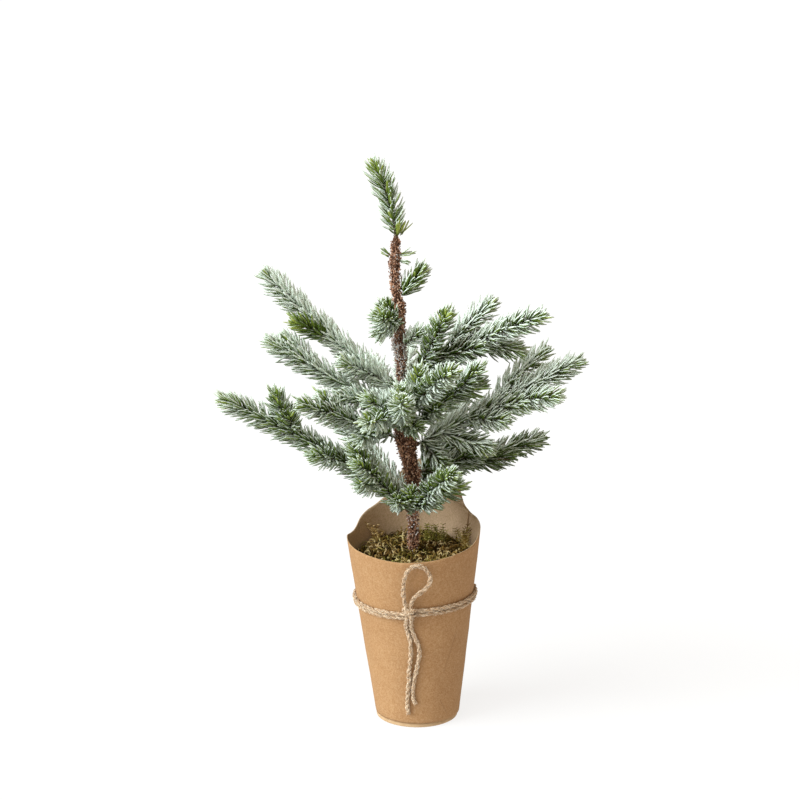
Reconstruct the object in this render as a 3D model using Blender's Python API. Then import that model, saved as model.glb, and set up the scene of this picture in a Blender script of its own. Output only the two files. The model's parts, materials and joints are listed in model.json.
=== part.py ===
"""A frosted tabletop spruce in a pot wrapped with kraft paper and tied with jute twine.

Units are metres and +Z is up. The origin is the middle of the card disc that the tree stands on, and the
viewer's side is -Y. Every moving branch is built about the ball on the root of its wire stem.
"""

import math

import bmesh
import bpy
from mathutils import Matrix, Vector

GAP = 0.0003

# The pot's cone leans a little to the left as it rises.
POT_FOOT_RADIUS = 0.0322
POT_FLARE = 0.130
POT_LEAN = -0.026
DISC_HEIGHT = 0.0034
PAPER_THICK = 0.0006
PAPER_LIFT = 0.0010
PAPER_COLUMNS_PER_TURN = 72
CUP_WALL = 0.0012
CUP_HEIGHT = 0.1220
BALLAST_TOP = 0.0420
BED_BOTTOM = 0.1080
BED_TOP = 0.1226
MOSS_BOTTOM = 0.1232
MOSS_TOP = 0.1365

# The paper's rim: turn from +X in degrees, and height. The sheet starts at the first one, passes the
# front at 270 and ends a little over a turn later, where its corner stands up over the first layer.
RIM = [
    (32, 0.1605), (53, 0.1650), (75, 0.1710), (95, 0.1710), (112, 0.1666), (124, 0.1607), (135, 0.1572),
    (144, 0.1530), (150, 0.1490), (180, 0.1481), (224, 0.1457), (264, 0.1438), (290, 0.1452), (309, 0.1469),
    (338, 0.1503), (352, 0.1550), (378, 0.1586), (394, 0.1606), (401, 0.1650), (408, 0.1775), (417, 0.1880),
    (430, 0.1950), (442, 0.1955), (455, 0.1880), (468, 0.1740),
]

# Jute twine
TWINE_RADIUS = 0.0014
BAND_HEIGHT = 0.1006
BAND_TILT = 0.03
BAND_PITCH = 0.0031
BAND_OPENING = 0.0003
KNOT = Vector((-0.0066, -0.0526, 0.1036))
KNOT_RADII = (0.0038, 0.0021, 0.0044)
TAIL_OUTWARD = 0.0028

# Routes of the bow's loop, as steps from the knot, and of the two tails that lie down the front of the
# paper, as sideways place and height. Each tail starts with a step from the knot.
BOW_LOOP = [
    (-0.0022, 0.0000, 0.0056), (-0.0035, -0.0002, 0.0110), (-0.0042, -0.0006, 0.0180), (-0.0038, -0.0010, 0.0255),
    (-0.0022, -0.0016, 0.0318), (0.0006, -0.0020, 0.0363), (0.0042, -0.0023, 0.0387), (0.0082, -0.0023, 0.0391),
    (0.0121, -0.0021, 0.0371), (0.0150, -0.0018, 0.0337), (0.0165, -0.0014, 0.0293), (0.0160, -0.0010, 0.0247),
    (0.0136, -0.0006, 0.0207), (0.0100, -0.0002, 0.0174), (0.0060, 0.0000, 0.0144), (0.0028, 0.0000, 0.0104),
    (0.0014, 0.0000, 0.0056),
]
TAIL_LEFT_START = (-0.0018, -0.0004, -0.0056)
TAIL_LEFT = [
    (-0.0086, 0.0900), (-0.0068, 0.0830), (-0.0050, 0.0740), (-0.0052, 0.0611), (-0.0064, 0.0500),
    (-0.0062, 0.0430), (-0.0073, 0.0320), (-0.0075, 0.0230), (-0.0067, 0.0130),
]
TAIL_RIGHT_START = (0.0018, -0.0004, -0.0056)
TAIL_RIGHT = [
    (-0.0046, 0.0890), (-0.0020, 0.0815), (0.0009, 0.0740), (0.0018, 0.0673), (0.0008, 0.0600),
    (-0.0008, 0.0510), (-0.0022, 0.0435), (-0.0032, 0.0355), (-0.0030, 0.0275), (-0.0014, 0.0225),
]

# Trunk: sideways place and height of its line, then the bark's radius at a height
TRUNK_LINE = [
    (-0.0010, 0.0140), (-0.0030, 0.0700), (-0.0040, 0.1180), (-0.0032, 0.1470), (-0.0038, 0.1680),
    (-0.0030, 0.1960), (-0.0060, 0.2100), (-0.0082, 0.2230), (-0.0095, 0.2400), (-0.0115, 0.2620),
    (-0.0130, 0.2830), (-0.0128, 0.2950), (-0.0143, 0.3080), (-0.0140, 0.3300), (-0.0170, 0.3470),
    (-0.0180, 0.3690), (-0.0168, 0.3860),
]
BARK_RADII = [
    (0.124, 0.0038), (0.137, 0.0038), (0.1465, 0.0054), (0.156, 0.0042), (0.168, 0.0050), (0.180, 0.0056),
    (0.199, 0.0067), (0.210, 0.0067), (0.220, 0.0075), (0.230, 0.0098), (0.245, 0.0100), (0.256, 0.0080),
    (0.266, 0.0060), (0.283, 0.0045), (0.293, 0.0050), (0.308, 0.0068), (0.316, 0.0040), (0.331, 0.0058),
    (0.341, 0.0042), (0.350, 0.0040), (0.360, 0.0048), (0.370, 0.0050), (0.379, 0.0040), (0.386, 0.0036),
]
BARK_SLEEVES = [("bark_lower", 0.1240, 0.2620), ("bark_upper", 0.2624, 0.3860)]
CORE_RADIUS = 0.0016
CORE_TOP = 0.3840
CORE_CLEARANCE = 0.00035

# Wire stems and the moulded needle solids on them
STEM_RADIUS = 0.0011
BALL_RADIUS = 0.0019
SOCKET_CLEARANCE = 0.00035
SOCKET_DEPTH = 0.0080
FUNNEL = [(0.0002, 0), (0.0002, 0.0018), (0.0080, 0.0047), (0.0080, 0)]
SPRIG_PITCH = 0.015
SPRIG_SIDES = 7

# Branches: name, height on the trunk, turn from +X, rise at the root and at the tip in degrees, length,
# bare stem before the needles, and the needle solid's radius
BRANCHES = [
    ("low_left", 0.180, 191, 35, 28, 0.171, 0.016, 0.0052),
    ("low_front_left", 0.171, 214, 46, 54, 0.082, 0.014, 0.0052),
    ("low_front_right", 0.173, 298, 40, 32, 0.077, 0.015, 0.0048),
    ("low_back_right", 0.181, 68, 24, 28, 0.116, 0.018, 0.0050),
    ("low_back_left", 0.178, 128, 26, 26, 0.120, 0.018, 0.0050),
    ("mid_right", 0.224, 1, 28, 28, 0.144, 0.016, 0.0052),
    ("mid_back_right", 0.201, 30, 1, 10, 0.116, 0.018, 0.0050),
    ("mid_front_left", 0.231, 212, 25, 25, 0.095, 0.015, 0.0048),
    ("mid_left", 0.251, 188, 29, 35, 0.115, 0.016, 0.0050),
    ("front", 0.243, 268, 24, 36, 0.076, 0.014, 0.0048),
    ("front_left", 0.250, 245, 6, 11, 0.062, 0.014, 0.0046),
    ("front_right", 0.253, 302, 42, 30, 0.078, 0.014, 0.0046),
    ("right_front", 0.242, 330, 38, 48, 0.078, 0.015, 0.0048),
    ("mid_back", 0.232, 106, 18, 22, 0.104, 0.016, 0.0048),
    ("high_left", 0.267, 178, 39, 47, 0.139, 0.014, 0.0052),
    ("high_right", 0.272, 354, 56, -22, 0.101, 0.012, 0.0050),
    ("high_back", 0.258, 88, 14, 18, 0.082, 0.014, 0.0046),
]

LEADER_TURN = 180
LEADER_RISES = (84, 62)
LEADER_LENGTH = 0.0610

# Side sprigs: branch, how far along it as a share, turn and rise in degrees, length, radius
SIDE_SPRIGS = [
    ("low_left", 0.68, 237, 63, 0.032, 0.0052),
    ("mid_right", 0.50, 20, 39, 0.055, 0.0046),
    ("mid_right", 0.54, 330, 15, 0.047, 0.0044),
    ("high_left", 0.50, 200, 33, 0.030, 0.0042),
    ("high_right", 0.44, 10, 44, 0.048, 0.0046),
    ("high_right", 0.62, 332, 26, 0.066, 0.0044),
    ("high_right", 0.22, 305, 55, 0.057, 0.0042),
]

# Sprigs pressed straight into the bark: name, height, turn, rise, length, radius
FIXED_SPRIGS = [
    ("sprig_upper_right", 0.343, 4, 52, 0.028, 0.0044),
    ("sprig_upper_front", 0.321, 246, 22, 0.034, 0.0048),
    ("sprig_frosted_front", 0.306, 318, 38, 0.022, 0.0040),
]


def clear_scene():
    for thing in list(bpy.data.objects):
        bpy.data.objects.remove(thing, do_unlink=True)


def make_material(name, colour, roughness, metallic=0.0):
    material = bpy.data.materials.new(name)
    material.use_nodes = True
    shader = material.node_tree.nodes["Principled BSDF"]
    shader.inputs["Base Color"].default_value = (*colour, 1.0)
    shader.inputs["Roughness"].default_value = roughness
    shader.inputs["Metallic"].default_value = metallic
    material.diffuse_color = (*colour, 1.0)
    return material


def make_materials():
    return {
        "kraft_paper": make_material("kraft_paper", (0.60, 0.40, 0.21), 0.85),
        "kraft_card": make_material("kraft_card", (0.62, 0.44, 0.25), 0.85),
        "cup_plastic": make_material("cup_plastic", (0.03, 0.03, 0.03), 0.55),
        "cement": make_material("cement", (0.42, 0.41, 0.39), 0.9),
        "coir_bed": make_material("coir_bed", (0.12, 0.08, 0.04), 0.95),
        "moss": make_material("moss", (0.14, 0.11, 0.04), 0.95),
        "jute": make_material("jute", (0.58, 0.40, 0.23), 0.9),
        "core_wire": make_material("core_wire", (0.35, 0.35, 0.36), 0.4, 1.0),
        "bark": make_material("bark", (0.14, 0.075, 0.045), 0.9),
        "stem_tape": make_material("stem_tape", (0.16, 0.09, 0.05), 0.85),
        "needles": make_material("needles", (0.22, 0.30, 0.17), 0.7),
    }


def interpolate(pairs, x):
    """The second value of the pairs at x, on straight lines between them."""
    for (x0, y0), (x1, y1) in zip(pairs, pairs[1:]):
        if x <= x1:
            return y0 + (y1 - y0) * max(0.0, (x - x0) / (x1 - x0))
    return pairs[-1][1]


def smooth_route(points, pieces):
    """A smooth curve through the points, with that many pieces between each two."""
    points = [Vector(point) for point in points]
    ends = [2 * points[0] - points[1], *points, 2 * points[-1] - points[-2]]
    route = []
    for a, b, c, d in zip(ends, ends[1:], ends[2:], ends[3:]):
        for k in range(pieces):
            t = k / pieces
            route.append(
                0.5 * (2 * b + (c - a) * t + (2 * a - 5 * b + 4 * c - d) * t**2 + (3 * b - a - 3 * c + d) * t**3)
            )
    return [*route, points[-1]]


def direction(turn, rise):
    turn, rise = math.radians(turn), math.radians(rise)
    return Vector((math.cos(turn) * math.cos(rise), math.sin(turn) * math.cos(rise), math.sin(rise)))


def bent_route(turn, rise_root, rise_tip, length, pieces=24):
    """A route from the origin that leaves at one rise and arrives at another."""
    route = [Vector((0, 0, 0))]
    for k in range(pieces):
        rise = rise_root + (rise_tip - rise_root) * (k + 0.5) / pieces
        route.append(route[-1] + direction(turn, rise) * length / pieces)
    return route


def place_on(route, distance):
    """The point and the heading at a distance along the route, which runs on straight past its ends."""
    left = distance
    for a, b in zip(route, route[1:]):
        step = (b - a).length
        if left <= step or b is route[-1]:
            return a + (b - a).normalized() * left, (b - a).normalized()
        left -= step


def lathe_along(bm, route, profile, sides):
    """Rings of (distance, radius) about the route, joined into one closed skin. A radius of 0 is a point."""
    rings = []
    for distance, radius in profile:
        centre, heading = place_on(route, distance)
        if radius == 0:
            rings.append([bm.verts.new(centre)])
            continue
        turn = heading.to_track_quat("Z", "Y").to_matrix().to_4x4()
        made = bmesh.ops.create_circle(
            bm, segments=sides, radius=radius, matrix=Matrix.Translation(centre) @ turn
        )
        rings.append(made["verts"])
    for low, high in zip(rings, rings[1:]):
        join_rings(bm, low, high)
    return rings


def join_rings(bm, low, high):
    count = max(len(low), len(high))
    for i in range(count):
        j = (i + 1) % count
        corners = [low[i % len(low)], low[j % len(low)], high[j % len(high)], high[i % len(high)]]
        face = []
        for corner in corners:
            if corner not in face:
                face.append(corner)
        bm.faces.new(face)


def finish_object(name, bm, material, parent=None, smooth=True):
    bmesh.ops.recalc_face_normals(bm, faces=bm.faces)
    mesh = bpy.data.meshes.new(name)
    bm.to_mesh(mesh)
    bm.free()
    for face in mesh.polygons:
        face.use_smooth = smooth
    thing = bpy.data.objects.new(name, mesh)
    bpy.context.collection.objects.link(thing)
    mesh.materials.append(material)
    thing.parent = parent
    return thing


def make_tube(name, points, radius, material, cyclic=False):
    """A cord through the points, as a curve with a round bevel and filled caps."""
    curve = bpy.data.curves.new(name, "CURVE")
    curve.dimensions = "3D"
    curve.bevel_depth = radius
    curve.bevel_resolution = 2
    curve.use_fill_caps = True
    spline = curve.splines.new("POLY")
    spline.points.add(len(points) - 1)
    for target, point in zip(spline.points, points):
        target.co = (*point, 1.0)
    spline.use_smooth = True
    thing = bpy.data.objects.new(name, curve)
    bpy.context.collection.objects.link(thing)
    curve.materials.append(material)
    return thing


def pot_centre(height):
    return Vector((POT_LEAN * height, 0, height))


def pot_radius(height):
    return POT_FOOT_RADIUS + POT_FLARE * height


def pot_point(turn, height, outward=0.0):
    """A point on the paper's middle surface at a turn in degrees, moved outward by that much."""
    radius = pot_radius(height) + outward
    turn = math.radians(turn)
    return pot_centre(height) + Vector((radius * math.cos(turn), radius * math.sin(turn), 0))


def front_point(x, height, outward):
    """A point in front of the paper, straight towards the viewer from a sideways place and height."""
    radius = pot_radius(height) + outward
    return Vector((x, -math.sqrt(radius**2 - (x - POT_LEAN * height) ** 2), height))


def make_card_disc(materials):
    bm = bmesh.new()
    edge = POT_FOOT_RADIUS
    profile = [(0, 0), (0, edge - 0.0004), (0.0004, edge), (DISC_HEIGHT, edge + 0.0002), (DISC_HEIGHT, 0)]
    lathe_along(bm, [Vector((0, 0, 0)), Vector((0, 0, 1))], profile, 48)
    return finish_object("card_disc", bm, materials["kraft_card"], smooth=False)


def layer_lift(turn):
    """How far out the sheet lies at a turn, so that its end passes over its start."""
    share = min(1.0, max(0.0, (turn - 200) / 150))
    return PAPER_LIFT * share * share * (3 - 2 * share)


def make_paper_wrap(materials):
    """One sheet rolled round the pot: inner and outer skins of the same grid, stitched at the edges."""
    first, last = RIM[0][0], RIM[-1][0]
    columns = round((last - first) / 360 * PAPER_COLUMNS_PER_TURN)
    bottom = DISC_HEIGHT + GAP
    bm = bmesh.new()
    skins = {}
    for side in (-1, 1):
        for i in range(columns + 1):
            turn = first + (last - first) * i / columns
            outward = layer_lift(turn) + side * PAPER_THICK / 2
            top = interpolate(RIM, turn)
            for row, height in enumerate((bottom, 0.5 * (bottom + top), top)):
                skins[side, i, row] = bm.verts.new(pot_point(turn, height, outward))
    for i in range(columns):
        for row in (0, 1):
            for side in (-1, 1):
                bm.faces.new(
                    [skins[side, i, row], skins[side, i + 1, row], skins[side, i + 1, row + 1], skins[side, i, row + 1]]
                )
        for row in (0, 2):
            bm.faces.new([skins[-1, i, row], skins[-1, i + 1, row], skins[1, i + 1, row], skins[1, i, row]])
    for i in (0, columns):
        for row in (0, 1):
            bm.faces.new([skins[-1, i, row], skins[-1, i, row + 1], skins[1, i, row + 1], skins[1, i, row]])
    return finish_object("paper_wrap", bm, materials["kraft_paper"])


def cup_inner(height):
    return pot_radius(height) - PAPER_THICK / 2 - GAP - CUP_WALL


def leaning_rings(bm, rings, sides, wave=0.0):
    """Rings of (height, radius) on the pot's leaning axis. A wave makes each ring's height and edge uneven."""
    made = []
    for k, (height, radius) in enumerate(rings):
        if radius == 0:
            made.append([bm.verts.new(pot_centre(height))])
            continue
        ring = []
        for i in range(sides):
            turn = math.tau * i / sides
            lump = wave * (math.sin(3 * turn + k) + math.sin(5 * turn + 2.1 * k)) * 0.5
            spread = radius * (1 - abs(lump) * 4)
            ring.append(
                bm.verts.new(
                    pot_centre(height) + Vector((spread * math.cos(turn), spread * math.sin(turn), lump))
                )
            )
        made.append(ring)
    for low, high in zip(made, made[1:]):
        join_rings(bm, low, high)
    return made


def make_inner_cup(materials):
    bottom = DISC_HEIGHT + GAP
    floor = bottom + 0.0016
    bm = bmesh.new()
    rings = [
        (bottom, 0),
        (bottom, cup_inner(bottom) + CUP_WALL),
        (CUP_HEIGHT, cup_inner(CUP_HEIGHT) + CUP_WALL),
        (CUP_HEIGHT, cup_inner(CUP_HEIGHT)),
        (floor, cup_inner(floor)),
        (floor, 0),
    ]
    leaning_rings(bm, rings, 40)
    return finish_object("inner_cup", bm, materials["cup_plastic"], smooth=False)


def hole_ring(bm, height, radius, sides):
    """A ring about the trunk's line, which isn't in the middle of the pot."""
    centre = trunk_point(height)
    ring = []
    for i in range(sides):
        turn = math.tau * i / sides
        ring.append(bm.verts.new(centre + Vector((radius * math.cos(turn), radius * math.sin(turn), 0))))
    return ring


def make_filling(name, material, rings, hole_radius, sides, wave=0.0):
    """A plug or layer in the pot, with a straight hole round the trunk from its top to its bottom."""
    bm = bmesh.new()
    made = leaning_rings(bm, rings, sides, wave)
    low = hole_ring(bm, rings[0][0], hole_radius, sides)
    high = hole_ring(bm, rings[-1][0], hole_radius, sides)
    join_rings(bm, low, made[0])
    join_rings(bm, made[-1], high)
    join_rings(bm, high, low)
    return finish_object(name, bm, material, smooth=False)


def make_ballast(materials):
    bottom = DISC_HEIGHT + GAP + 0.0016 + GAP
    rings = [(bottom, cup_inner(bottom) - GAP), (BALLAST_TOP, cup_inner(BALLAST_TOP) - GAP)]
    return make_filling("cement_ballast", materials["cement"], rings, CORE_RADIUS + GAP, 28)


def make_moss_bed(materials):
    rings = [(BED_BOTTOM, cup_inner(BED_BOTTOM) - GAP), (0.1215, cup_inner(0.1215) - GAP), (BED_TOP, 0.0455)]
    return make_filling("coir_bed", materials["coir_bed"], rings, CORE_RADIUS + GAP, 28)


def make_moss(materials):
    edge = pot_radius(MOSS_BOTTOM) - PAPER_THICK / 2 - 2 * GAP
    rings = [
        (MOSS_BOTTOM, edge),
        (MOSS_BOTTOM + 0.006, edge + 0.0005),
        (MOSS_TOP - 0.003, edge - 0.001),
        (MOSS_TOP, 0.036),
        (MOSS_TOP + 0.0010, 0.022),
        (MOSS_TOP, 0.008),
    ]
    bm = bmesh.new()
    sides = 32
    made = leaning_rings(bm, rings[:1], sides) + leaning_rings(bm, rings[1:], sides, 0.0008)
    join_rings(bm, made[0], made[1])
    low = hole_ring(bm, MOSS_BOTTOM, 0.0046, sides)
    high = hole_ring(bm, MOSS_TOP - 0.0008, 0.0046, sides)
    join_rings(bm, low, made[0])
    join_rings(bm, made[-1], high)
    join_rings(bm, high, low)
    return finish_object("moss_layer", bm, materials["moss"])


def band_point(turn, wraps):
    """A point on the twine's line after some wraps round the pot. They draw apart a little at the right."""
    pitch = BAND_PITCH + BAND_OPENING * math.cos(math.radians(turn))
    x = pot_radius(BAND_HEIGHT) * math.cos(math.radians(turn)) + POT_LEAN * BAND_HEIGHT
    height = BAND_HEIGHT + BAND_TILT * x + pitch * (1 - wraps)
    outward = PAPER_LIFT + PAPER_THICK / 2 + GAP + TWINE_RADIUS
    return pot_point(turn, height, outward)


def make_twine(materials):
    """The band is two turns that start and end behind the knot, where a bow loop and two tails leave it."""
    start, steps = 266, 72
    band = []
    for k in range(steps + 1):
        turn = start + 6 + (720 - 12) * k / steps
        band.append(band_point(turn, (turn - start) / 360))
    make_tube("twine_band", band, TWINE_RADIUS, materials["jute"])
    loop = [KNOT + Vector(step) for step in BOW_LOOP]
    make_tube("twine_bow_loop", smooth_route(loop, 2), TWINE_RADIUS, materials["jute"])
    for name, start, line in (("left", TAIL_LEFT_START, TAIL_LEFT), ("right", TAIL_RIGHT_START, TAIL_RIGHT)):
        tail = [KNOT + Vector(start)] + [front_point(x, z, TAIL_OUTWARD) for x, z in line]
        make_tube("twine_tail_" + name, smooth_route(tail, 2), TWINE_RADIUS, materials["jute"])
    make_lump("twine_knot", KNOT, KNOT_RADII, materials["jute"])


def make_lump(name, centre, radii, material):
    bm = bmesh.new()
    bmesh.ops.create_icosphere(bm, subdivisions=2, radius=1.0)
    bmesh.ops.scale(bm, vec=radii, verts=bm.verts)
    thing = finish_object(name, bm, material)
    thing.location = centre
    return thing


def trunk_point(height):
    for (x0, z0), (x1, z1) in zip(TRUNK_LINE, TRUNK_LINE[1:]):
        if height <= z1:
            share = max(0.0, (height - z0) / (z1 - z0))
            return Vector((x0 + (x1 - x0) * share, 0, height))
    return Vector((TRUNK_LINE[-1][0], 0, height))


def make_core(materials):
    points = [Vector((x, 0, z)) for x, z in TRUNK_LINE[:-1]] + [trunk_point(CORE_TOP)]
    return make_tube("trunk_core_wire", points, CORE_RADIUS, materials["core_wire"])


def bark_radius(height):
    return interpolate(BARK_RADII, height)


def make_bark_sleeve(name, low, high, materials):
    """A lumpy sleeve round the core wire, open at both ends."""
    sides, rows = 12, max(6, round((high - low) / 0.0060))
    bore = CORE_RADIUS + CORE_CLEARANCE
    bm = bmesh.new()
    outer, inner = [], []
    for k in range(rows + 1):
        height = low + (high - low) * k / rows
        ring = []
        for i in range(sides):
            turn = math.tau * i / sides
            lump = 1 + 0.07 * math.sin(2 * turn + 900 * height) + 0.05 * math.sin(5 * turn - 500 * height)
            radius = bark_radius(height) * lump
            ring.append(
                bm.verts.new(trunk_point(height) + Vector((radius * math.cos(turn), radius * math.sin(turn), 0)))
            )
        outer.append(ring)
    heights = [low] + [z for _, z in TRUNK_LINE if low + 0.002 < z < high - 0.002] + [high]
    inner = [hole_ring(bm, height, bore, sides) for height in heights]
    for a, b in zip(outer, outer[1:]):
        join_rings(bm, a, b)
    for a, b in zip(inner, inner[1:]):
        join_rings(bm, a, b)
    join_rings(bm, outer[0], inner[0])
    join_rings(bm, outer[-1], inner[-1])
    return finish_object(name, bm, materials["bark"])


def hinge_point(height, turn, depth=0.0004):
    turn = math.radians(turn)
    radius = bark_radius(height) - depth
    return trunk_point(height) + Vector((radius * math.cos(turn), radius * math.sin(turn), 0))


def cut_sockets(sleeves):
    """A round socket in the bark for the ball or pin at the root of each stem and sprig.

    A stem's socket opens into a funnel along the stem, so that the branch can bend without touching the bark.
    """
    roots = [
        (hinge_point(height, turn), BALL_RADIUS, direction(turn, rise)) for _, height, turn, rise, *_ in BRANCHES
    ]
    roots += [(hinge_point(height, turn, -0.0002), 0.0016, None) for _, height, turn, *_ in FIXED_SPRIGS]
    for name, low, high in BARK_SLEEVES:
        near = [root for root in roots if low - 0.002 < root[0].z < high + 0.002]
        if not near:
            continue
        bm = bmesh.new()
        for centre, radius, way in near:
            bmesh.ops.create_icosphere(
                bm, subdivisions=2, radius=(radius + SOCKET_CLEARANCE) / 0.96, matrix=Matrix.Translation(centre)
            )
            if way:
                lathe_along(bm, [centre, centre + way], FUNNEL, 10)
        cutter = finish_object(name + "_sockets", bm, sleeves[name].data.materials[0])
        cutter.hide_render = True
        cutter.display_type = "WIRE"
        cut = sleeves[name].modifiers.new("sockets", "BOOLEAN")
        cut.operation = "DIFFERENCE"
        cut.solver = "EXACT"
        cut.use_self = True
        cut.object = cutter


def stem_profile(length):
    """A ball at the root, a short neck and then the wire."""
    ball = [(BALL_RADIUS * math.sin(math.radians(a)), BALL_RADIUS * math.cos(math.radians(a))) for a in (-60, -25, 15)]
    wire = [(distance, STEM_RADIUS) for distance in (BALL_RADIUS, length - SOCKET_DEPTH + GAP, length - 0.0006)]
    return [(-BALL_RADIUS, 0), *ball, *wire, (length, 0)]


def sprig_profile(start, end, radius, bore=True):
    """Skirts that flare towards the tip. With a bore it starts inside, where the end of the stem goes."""
    collar = STEM_RADIUS + GAP + 0.0008
    profile = [(start, 0), (start, 0.0012)]
    if bore:
        bore_radius = STEM_RADIUS + GAP + 0.0001
        profile = [(start + SOCKET_DEPTH, 0), (start + SOCKET_DEPTH, bore_radius), (start, bore_radius)]
        profile.append((start, collar))
    skirts = max(3, round((end - start) / SPRIG_PITCH))
    pitch = (end - start - 0.004) / skirts
    for k in range(skirts):
        share = (k + 0.85) / skirts
        full = radius * min(1.0, 0.45 + 1.9 * share) * min(1.0, 0.34 + 1.7 * (1 - share))
        if k > 0:
            profile.append((start + 0.004 + pitch * k, 0.66 * full))
        profile.append((start + 0.004 + pitch * (k + 0.85), full))
    profile.append((end, 0))
    return profile


def add_stem(name, hinge, route, length, materials):
    bm = bmesh.new()
    lathe_along(bm, route, stem_profile(length), 8)
    return finish_object(name, bm, materials["stem_tape"], hinge)


def add_sprig(name, hinge, route, start, end, radius, materials, bore=True):
    bm = bmesh.new()
    lathe_along(bm, route, sprig_profile(start, end, radius, bore), SPRIG_SIDES)
    return finish_object(name, bm, materials["needles"], hinge)


def add_side_sprig(name, hinge, route, spec, length, main_radius, materials):
    """A small sprig that starts just off the main one's needles, on the side that it leans to."""
    share, turn, rise, side_length, radius = spec
    centre, heading = place_on(route, share * length)
    way = direction(turn, rise)
    off = (way - heading * way.dot(heading)).normalized()
    start = centre + off * (main_radius + 2.2 * GAP + 0.0009)
    side_route = [start + point for point in bent_route(turn, rise, rise, side_length)]
    return add_sprig(name, hinge, side_route, 0, side_length, radius, materials, bore=False)


def make_hinge(name, place):
    hinge = bpy.data.objects.new("hinge_" + name, None)
    hinge.location = place
    bpy.context.collection.objects.link(hinge)
    return hinge


def make_branch(row, materials):
    name, height, turn, rise_root, rise_tip, length, bare, radius = row
    hinge = make_hinge(name, hinge_point(height, turn))
    route = bent_route(turn, rise_root, rise_tip, length)
    add_stem("stem_" + name, hinge, route, bare + SOCKET_DEPTH - GAP, materials)
    add_sprig("sprig_" + name, hinge, route, bare, length, radius, materials)
    sides = [spec[1:] for spec in SIDE_SPRIGS if spec[0] == name]
    for letter, spec in zip("abc", sides):
        add_side_sprig(f"sprig_{name}_{letter}", hinge, route, spec, length, radius, materials)


def make_leader(materials):
    """The tip of the tree bends about the top of the core wire."""
    hinge = make_hinge("leader", trunk_point(0.3890))
    route = bent_route(LEADER_TURN, *LEADER_RISES, LEADER_LENGTH)
    add_stem("stem_leader", hinge, route, 0.005 + SOCKET_DEPTH - GAP, materials)
    add_sprig("sprig_leader", hinge, route, 0.005, LEADER_LENGTH, 0.0052, materials)


def make_fixed_sprig(row, materials):
    name, height, turn, rise, length, radius = row
    start = hinge_point(height, turn, -0.0002)
    route = [start + point for point in bent_route(turn, rise, rise, length)]
    add_sprig(name, None, route, 0, length, radius, materials, bore=False)


def build():
    clear_scene()
    materials = make_materials()
    make_card_disc(materials)
    make_paper_wrap(materials)
    make_inner_cup(materials)
    make_ballast(materials)
    make_moss_bed(materials)
    make_moss(materials)
    make_twine(materials)
    make_core(materials)
    sleeves = {name: make_bark_sleeve(name, low, high, materials) for name, low, high in BARK_SLEEVES}
    cut_sockets(sleeves)
    for row in BRANCHES:
        make_branch(row, materials)
    make_leader(materials)
    for row in FIXED_SPRIGS:
        make_fixed_sprig(row, materials)


build()
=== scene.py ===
"""The looks of a frosted tabletop spruce in a pot wrapped with kraft paper and tied with jute twine.

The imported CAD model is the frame. Needles, bark, moss, paper and twine are built round its nodes here.
"""

import json
import math
from functools import reduce

import bpy
import numpy as np
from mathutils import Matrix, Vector, noise

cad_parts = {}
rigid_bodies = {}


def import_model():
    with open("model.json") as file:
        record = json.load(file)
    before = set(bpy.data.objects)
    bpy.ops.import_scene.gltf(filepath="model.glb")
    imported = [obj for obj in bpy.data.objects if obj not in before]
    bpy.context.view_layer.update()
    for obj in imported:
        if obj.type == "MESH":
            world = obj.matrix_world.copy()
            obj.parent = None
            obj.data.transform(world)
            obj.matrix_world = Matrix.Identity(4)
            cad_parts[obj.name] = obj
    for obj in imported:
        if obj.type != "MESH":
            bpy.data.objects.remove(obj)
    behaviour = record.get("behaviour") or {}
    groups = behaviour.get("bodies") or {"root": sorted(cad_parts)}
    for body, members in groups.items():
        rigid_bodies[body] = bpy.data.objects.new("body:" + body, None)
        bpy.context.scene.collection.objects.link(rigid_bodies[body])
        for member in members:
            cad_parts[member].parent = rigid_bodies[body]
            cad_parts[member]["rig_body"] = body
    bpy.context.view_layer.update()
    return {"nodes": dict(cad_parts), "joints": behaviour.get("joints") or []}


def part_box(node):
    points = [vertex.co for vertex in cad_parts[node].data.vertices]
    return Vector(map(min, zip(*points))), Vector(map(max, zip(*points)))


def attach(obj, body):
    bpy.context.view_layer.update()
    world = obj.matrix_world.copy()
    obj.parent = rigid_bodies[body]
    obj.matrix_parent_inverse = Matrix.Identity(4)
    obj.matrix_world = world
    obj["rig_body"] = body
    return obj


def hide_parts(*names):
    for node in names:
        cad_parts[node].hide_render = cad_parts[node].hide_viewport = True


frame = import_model()
NODES = frame["nodes"]
ROOT_BODY = "pot_and_trunk"

# The pot's cone, as the CAD has it: radius at the foot, and growth and lean for each metre of height. The
# paper's thickness, how far its outer layer stands out where it laps, and how high its lower edge is.
FOOT_RADIUS = 0.0322
FLARE = 0.130
LEAN = -0.026
PAPER_THICK = 0.0006
PAPER_LIFT = 0.0010
PAPER_FOOT = 0.0037

# The paper's rim: turn from +X in degrees, and height. The sheet laps over itself past 392 degrees.
RIM = [
    (32, 0.1605), (53, 0.1650), (75, 0.1710), (95, 0.1710), (112, 0.1666), (124, 0.1607), (135, 0.1572),
    (144, 0.1530), (150, 0.1490), (180, 0.1481), (224, 0.1457), (264, 0.1438), (290, 0.1452), (309, 0.1469),
    (338, 0.1503), (352, 0.1550), (378, 0.1586), (394, 0.1606), (401, 0.1650), (408, 0.1775), (417, 0.1880),
    (430, 0.1950), (442, 0.1955), (455, 0.1880), (468, 0.1740),
]

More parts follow.
